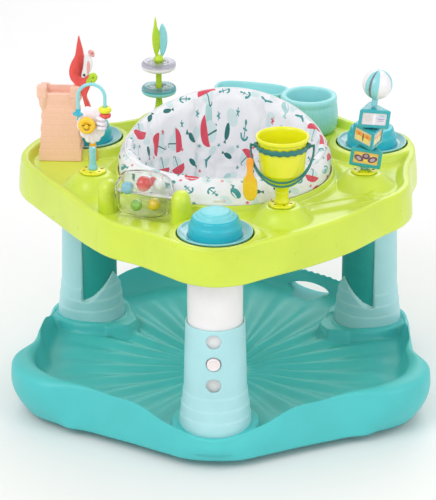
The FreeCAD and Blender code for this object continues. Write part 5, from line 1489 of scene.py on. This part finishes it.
ORANGE_INK = (0.86, 0.40, 0.03)
PURPLE_INK = (0.16, 0.06, 0.16)
LILAC_INK = (0.62, 0.60, 0.78)
CARDS = {
    "top": dict(ground=(0.80, 0.74, 0.80), shapes=[
        ((0.70, 0.62, 0.66), (0.24, 0.55), (0.17, 0.30), 10, "disc"), ((0.85, 0.85, 0.90), (0.50, 0.50), (0.05, 0.5), 0,
                                                                      "bar"),
        (LILAC_INK, (0.76, 0.62), (0.19, 0.10), 8, "disc"), ((0.30, 0.26, 0.50), (0.78, 0.50), (0.17, 0.035), 6, "disc"),
        ((0.30, 0.26, 0.50), (0.76, 0.36), (0.15, 0.03), 10, "disc"), ((0.20, 0.55, 0.62), (0.80, 0.80), (0.14, 0.05),
                                                                      -6, "disc")]),
    "middle": dict(ground=(0.84, 0.66, 0.40), shapes=[
        (ORANGE_INK, (0.27, 0.60), (0.24, 0.30), 28, "disc"), (ORANGE_INK, (0.73, 0.60), (0.24, 0.30), -28, "disc"),
        ((0.90, 0.70, 0.15), (0.30, 0.30), (0.18, 0.20), -20, "disc"), ((0.90, 0.70, 0.15), (0.70, 0.30), (0.18, 0.20),
                                                                      20, "disc"),
        ((0.05, 0.05, 0.04), (0.50, 0.48), (0.035, 0.36), 0, "disc"), ((0.80, 0.20, 0.03), (0.26, 0.62), (0.09, 0.13),
                                                                      20, "disc"),
        ((0.80, 0.20, 0.03), (0.74, 0.62), (0.09, 0.13), -20, "disc")]),
    "low": dict(ground=(0.88, 0.56, 0.14), shapes=[
        (PURPLE_INK, (0.22, 0.44), (0.17, 0.30), 20, "disc"), (PURPLE_INK, (0.78, 0.44), (0.17, 0.30), -20, "disc"),
        (PURPLE_INK, (0.50, 0.66), (0.16, 0.26), 0, "disc"), ((0.50, 0.36, 0.50), (0.22, 0.42), (0.09, 0.17), 20,
                                                              "disc"),
        ((0.50, 0.36, 0.50), (0.78, 0.42), (0.09, 0.17), -20, "disc"), ((0.42, 0.30, 0.40), (0.50, 0.70), (0.08, 0.13),
                                                                       0, "disc"),
        ((0.90, 0.72, 0.10), (0.50, 0.30), (0.06, 0.09), 0, "disc")]),
}


def rounded_prism(name, inradius, height, radius, material):
    """Upright three-sided block with rounded edges; one face looks towards -Y."""
    solid = bmesh.new()
    layers = []
    for z in (0.0, height):
        layer = []
        for turn in (210, 330, 90):
            angle = math.radians(turn)
            layer.append(solid.verts.new((2 * inradius * math.cos(angle), 2 * inradius * math.sin(angle), z)))
        layers.append(layer)
    for index in range(3):
        after = (index + 1) % 3
        solid.faces.new((layers[0][index], layers[0][after], layers[1][after], layers[1][index]))
    solid.faces.new(list(reversed(layers[0])))
    solid.faces.new(layers[1])
    bmesh.ops.bevel(solid, geom=solid.edges, offset=radius, segments=4, profile=0.5, affect="EDGES")
    mesh = bpy.data.meshes.new(name)
    solid.to_mesh(mesh)
    solid.free()
    piece = bpy.data.objects.new(name, mesh)
    bpy.context.collection.objects.link(piece)
    mesh.materials.append(material)
    return piece


def build_spinner():
    stem_low, stem_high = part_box("spinner_stem")
    x, y = TOY_SPOTS["spinner_stem"].x, TOY_SPOTS["spinner_stem"].y
    lean = math.radians(7)
    base_z = 0.449
    base = Matrix.Translation((x, y, base_z)) @ Matrix.Rotation(lean, 4, "Y")
    tall = 8 + 3 * 36 + 24
    profile = rounded([(0.0078, 0.001), (0.0080, 0.003), (0.0072, 0.0055), (0.0066, 0.0080), (0.0030, 0.0082),
                       (0.0030, (tall - 15) / 1000), (0.0058, (tall - 14.6) / 1000), (0.0060, (tall - 1) / 1000),
                       (0.0052, tall / 1000), (0.0005, tall / 1000)], 0.0006)
    stem = lathe("spinner_post", profile, base, 48, MATERIALS["toy_sky"])
    settle(stem, "tray", "spinner_stem")
    for index, (name, turn) in enumerate((("low", -4.0), ("middle", 71.0), ("top", 12.0))):
        lift = (8.5 + index * 39) / 1000
        place = base @ at(0, 0, lift, turn)
        frame_piece = rounded_prism("picture_moulding_" + name, 0.0176, 0.036, 0.0030, MATERIALS["frame_teal"])
        cards = []
        for face in range(3):
            way = Matrix.Rotation(math.radians(120 * face), 4, "Z")
            tool = rounded_box("window", (-0.0235, -0.0210, 0.0060), (0.0235, -0.0156, 0.0300), 0.0012)
            tool.data.transform(way)
            cut_with(frame_piece, tool)
            corners = [(-0.0229, -0.0158, 0.0067), (0.0229, -0.0158, 0.0067), (0.0229, -0.0158, 0.0293),
                       (-0.0229, -0.0158, 0.0293)]
            back = [(px, py + 0.0003, pz) for px, py, pz in corners]
            card = make_object("card", corners + back, [(0, 1, 2, 3), (7, 6, 5, 4), (0, 4, 5, 1), (1, 5, 6, 2),
                                                        (2, 6, 7, 3), (3, 7, 4, 0)], MATERIALS["card_" + name],
                               smooth=False)
            layer = card.data.uv_layers.new(name="card")
            for loop in card.data.loops:
                point = card.data.vertices[loop.vertex_index].co
                layer.data[loop.index].uv = (0.5 + point.x / 0.0458, (point.z - 0.0067) / 0.0226)
            card.data.transform(way)
            cards.append(card)
        bore = lathe("bore", [(0.00312, -0.01), (0.00312, 0.05)], Matrix.Identity(4), 40)
        cut_with(frame_piece, bore)
        pieces = [frame_piece] + cards
        whole = joined("picture_moulding_" + name, pieces)
        whole.data.transform(place)
        whole.data.shade_smooth()
        for face in whole.data.polygons:
            face.use_smooth = len(face.vertices) > 4 or face.area < 2e-5
        weighted(whole)
        settle(whole, "frame_" + name, "picture_frame_" + name)
    ball_low, ball_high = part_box("beach_ball")
    radius = 0.0279
    centre = base @ Vector((0, 0, (tall + 0.3) / 1000 + 0.0270))
    balls = bmesh.new()
    bmesh.ops.create_uvsphere(balls, u_segments=72, v_segments=40, radius=radius)
    mesh = bpy.data.meshes.new("ball_moulding")
    balls.to_mesh(mesh)
    balls.free()
    ball = bpy.data.objects.new("ball_moulding", mesh)
    bpy.context.collection.objects.link(ball)
    for shade in ("toy_white", "toy_sky", "band_grey"):
        mesh.materials.append(MATERIALS[shade])
    for face in mesh.polygons:
        turn = (math.degrees(math.atan2(face.center.y, face.center.x)) + 360) % 360
        sector = int(((turn + 84) % 360) // 60)
        face.material_index = sector % 2
        if turn % 60 < 0.1 or 235 < turn < 244:
            face.material_index = 2 if 235 < turn < 244 else face.material_index
    for vertex in mesh.vertices:
        turn = math.degrees(math.atan2(vertex.co.y, vertex.co.x)) + 84
        gap = abs((turn + 30) % 60 - 30)
        flat = math.hypot(vertex.co.x, vertex.co.y)
        groove = math.exp(-(gap / 3.0) ** 2) if flat > 0.003 else 0
        vertex.co *= 1 - 0.012 * groove
        vertex.co.z = max(vertex.co.z, -0.0268)
    mesh.transform(Matrix.Translation(centre) @ Matrix.Rotation(lean, 4, "Y"))
    mesh.shade_smooth()
    settle(ball, "ball", "beach_ball")


def build_drum():
    centre = middle("roller_drum")
    axis = Vector((math.cos(DRUM_TURN), math.sin(DRUM_TURN), 0))
    place = Matrix.Translation(centre) @ axis.to_track_quat("Z", "Y").to_matrix().to_4x4()
    half = 0.047
    outside = [(0.0034, -half), (0.0300, -half), (0.0335, -half + 0.003), (0.0385, -half + 0.010), (0.0415, -0.024),
               (0.0428, -0.012), (0.0430, 0.0), (0.0428, 0.012), (0.0415, 0.024), (0.0385, half - 0.010),
               (0.0335, half - 0.003), (0.0300, half), (0.0034, half), (0.0034, half - 0.0028),
               (0.0290, half - 0.0028), (0.0345, half - 0.010), (0.0385, 0.022), (0.0402, 0.0), (0.0385, -0.022),
               (0.0345, -half + 0.010), (0.0290, -half + 0.0028), (0.0034, -half + 0.0028)]

    def ribs(angle, row):
        return 1 + (0.012 * math.cos(angle * 12) if 2 <= row <= 10 else 0)

    drum = lathe("drum_moulding", outside, place, 144, MATERIALS["drum_clear"], closed=True, ripple=ribs)
    subdivided(drum, 1)
    drum.data.shade_smooth()
    settle(drum, "roller", "roller_drum")
    axle_low, axle_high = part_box("roller_axle")
    length = 0.065
    axle = lathe("axle_rod", rounded([(0.0005, -length), (0.0024, -length), (0.0030, -length + 0.0008),
                                      (0.0030, length - 0.0008), (0.0024, length), (0.0005, length)], 0.0003),
                 place, 32, MATERIALS["toy_white"])
    settle(axle, "tray", "roller_axle")
    bead_objects = []
    loose = loose_parts(NODES["roller_beads"].data)
    loose.sort(key=lambda part: (part[0] - centre).dot(axis))
    order = ("bead_sky", "bead_green", "bead_red", "bead_yellow", "bead_white")
    for (spot, radius), shade in zip(loose, order):
        profile = [(0.0005, -radius * 0.92), (radius * 0.42, -radius * 0.88), (radius * 0.78, -radius * 0.62),
                   (radius * 0.97, -radius * 0.25), (radius, 0), (radius * 0.97, radius * 0.25),
                   (radius * 0.78, radius * 0.62), (radius * 0.42, radius * 0.88), (0.0005, radius * 0.92)]
        bead = lathe("bead", flowing(profile, 3), Matrix.Identity(4), 64, MATERIALS[shade])
        bead.data.transform(Matrix.Translation(spot) @ axis.to_track_quat("Z", "Y").to_matrix().to_4x4())
        bead_objects.append(bead)
    settle(joined("bead_mouldings", bead_objects), BODY_OF["roller_beads"], "roller_beads")


def loose_parts(mesh):
    """Centre and half-width of each separate solid in a mesh."""
    solid = bmesh.new()
    solid.from_mesh(mesh)
    bmesh.ops.remove_doubles(solid, verts=solid.verts, dist=1e-6)
    left = set(solid.verts)
    found = []
    while left:
        stack = [left.pop()]
        group = list(stack)
        while stack:
            vertex = stack.pop()
            for edge in vertex.link_edges:
                other = edge.other_vert(vertex)
                if other in left:
                    left.remove(other)
                    stack.append(other)
                    group.append(other)
        low = Vector([min(vertex.co[i] for vertex in group) for i in range(3)])
        high = Vector([max(vertex.co[i] for vertex in group) for i in range(3)])
        found.append(((low + high) / 2, min(high - low) / 2))
    solid.free()
    return found


def build_snack_tray():
    low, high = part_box("snack_tray")
    cup = Vector((0.152, 0.268, 0))

    def flutes(angle, row):
        return 1 + (0.012 * abs(math.sin(angle * 22)) if 1 <= row <= 6 else 0)

    profile = [(0.0500, 0.0), (0.0520, 0.001), (0.0560, 0.012), (0.0578, 0.028), (0.0572, 0.044), (0.0558, 0.056),
               (0.0548, 0.0600), (0.0556, 0.0612), (0.0562, 0.0640), (0.0560, 0.0685), (0.0548, 0.0718),
               (0.0520, 0.0730), (0.0470, 0.0730), (0.0445, 0.0715), (0.0432, 0.0680), (0.0425, 0.040),
               (0.0410, 0.012), (0.0380, 0.0085), (0.0005, 0.0080)]
    cup_piece = lathe("cup", profile, at(cup.x, cup.y, low.z), 264, MATERIALS["snack_aqua"], ripple=flutes)
    middle_of_dish = Vector((0.036, 0.317, low.z))
    turn = Matrix.Rotation(math.radians(-12), 4, "Z")
    dish_top = 0.069
    rings = []

    def oval(width, depth, z, count=160):
        ring = []
        for index in range(count):
            angle = TAU * index / count
            c, s_ = math.cos(angle), math.sin(angle)
            power = 0.62
            px = width * math.copysign(abs(c) ** power, c)
            py = depth * math.copysign(abs(s_) ** power, s_)
            ring.append(middle_of_dish + turn @ Vector((px, py, z)))
        return np.array(ring)

    for width, depth, z in ((0.060, 0.026, 0.0), (0.0655, 0.0295, 0.020), (0.0695, 0.0325, 0.045),
                            (0.0715, 0.0340, 0.0600), (0.0735, 0.0355, 0.0625), (0.0742, 0.0360, 0.0655),
                            (0.0735, 0.0354, 0.0682), (0.0715, 0.0335, dish_top), (0.0690, 0.0312, 0.0682),
                            (0.0675, 0.0298, 0.0655), (0.0640, 0.0270, 0.0420), (0.0590, 0.0230, 0.0300),
                            (0.0400, 0.0120, 0.0270), (0.002, 0.001, 0.0268)):
        rings.append(oval(width, depth, z))
    dish = polar_piece("dish", rings, MATERIALS["snack_aqua"])
    snack = joined("snack_moulding", [dish, cup_piece])
    settle(snack, "tray", "snack_tray")


# ---------------------------------------------------------------- stage

def look_at(camera, target):
    camera.rotation_euler = (Vector(target) - camera.location).to_track_quat("-Z", "Y").to_euler()


def build_stage():
    floor = make_object("floor", [(-6, -6, 0), (6, -6, 0), (6, 6, 0), (-6, 6, 0)], [(0, 1, 2, 3)], smooth=False)
    s = Shader("floor_paper")
    place = s.position()
    s.link(s.mix(s.noise(place, 2.0), (0.86, 0.86, 0.86), (0.90, 0.90, 0.90)), s.bsdf.inputs["Base Color"])
    s.bsdf.inputs["Roughness"].default_value = 0.55
    floor.data.materials.append(s.material)
    world = bpy.data.worlds.new("studio")
    bpy.context.scene.world = world
    world.use_nodes = True
    world.node_tree.nodes["Background"].inputs["Color"].default_value = (1.0, 1.0, 1.0, 1)
    world.node_tree.nodes["Background"].inputs["Strength"].default_value = 0.85
    for name, spot, size, power in (("key", (-1.8, -2.4, 3.0), 2.2, 46), ("fill", (2.6, -1.8, 2.2), 2.6, 22),
                                    ("back", (0.5, 2.8, 2.6), 2.4, 26)):
        light = bpy.data.lights.new(name, "AREA")
        light.energy = power
        light.size = size
        lamp = bpy.data.objects.new(name, light)
        bpy.context.collection.objects.link(lamp)
        lamp.location = spot
        look_at(lamp, (0, 0, 0.3))
    lens = bpy.data.cameras.new("camera")
    camera = bpy.data.objects.new("camera", lens)
    bpy.context.collection.objects.link(camera)
    elevation = math.radians(23.22)
    away = 4.601
    turn = math.radians(3.05)
    target = Vector((0, 0, 0.220))
    back = Vector((math.sin(turn) * math.cos(elevation), -math.cos(turn) * math.cos(elevation), math.sin(elevation)))
    camera.location = target + back * away
    look_at(camera, target)
    lens.sensor_width = 36.0
    lens.lens = 172.5
    lens.shift_x = -0.0135
    lens.shift_y = 0.0434
    bpy.context.scene.camera = camera
    bpy.context.scene.view_settings.view_transform = "Standard"


TOY_SPOTS = {node: middle(node) for node in ("bead_toy_stem", "ring_toy_stem", "bucket_stem")}
stem_low, stem_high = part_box("spinner_stem")
TOY_SPOTS["spinner_stem"] = Vector((stem_low.x + 0.008, (stem_low.y + stem_high.y) / 2, 0))
axle_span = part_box("roller_axle")[1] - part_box("roller_axle")[0]
DRUM_TURN = math.radians(-20)
HANDLE_Z = 0.555
extra_plastic("dome_pale", (0.16, 0.60, 0.66), rough=0.32)

MATERIALS["seat_print"] = seat_material()
for card, paint in CARDS.items():
    MATERIALS["card_" + card] = picture("card_" + card, paint)

for builder in (build_stage, build_saucer, build_tray, build_legs, build_seat, build_castle, build_figure,
                build_base_rings, build_bead_toy, build_ring_toy, build_bucket, build_spinner, build_drum,
                build_snack_tray):
    import time
    clock = time.time()
    builder()
    print("TIMING", builder.__name__, round(time.time() - clock, 1))

for node, object_ in NODES.items():
    if not object_.hide_render:
        object_.data.materials.clear()
        object_.data.materials.append(MATERIALS.get(SLOT_OF[node], MATERIALS["toy_white"]))
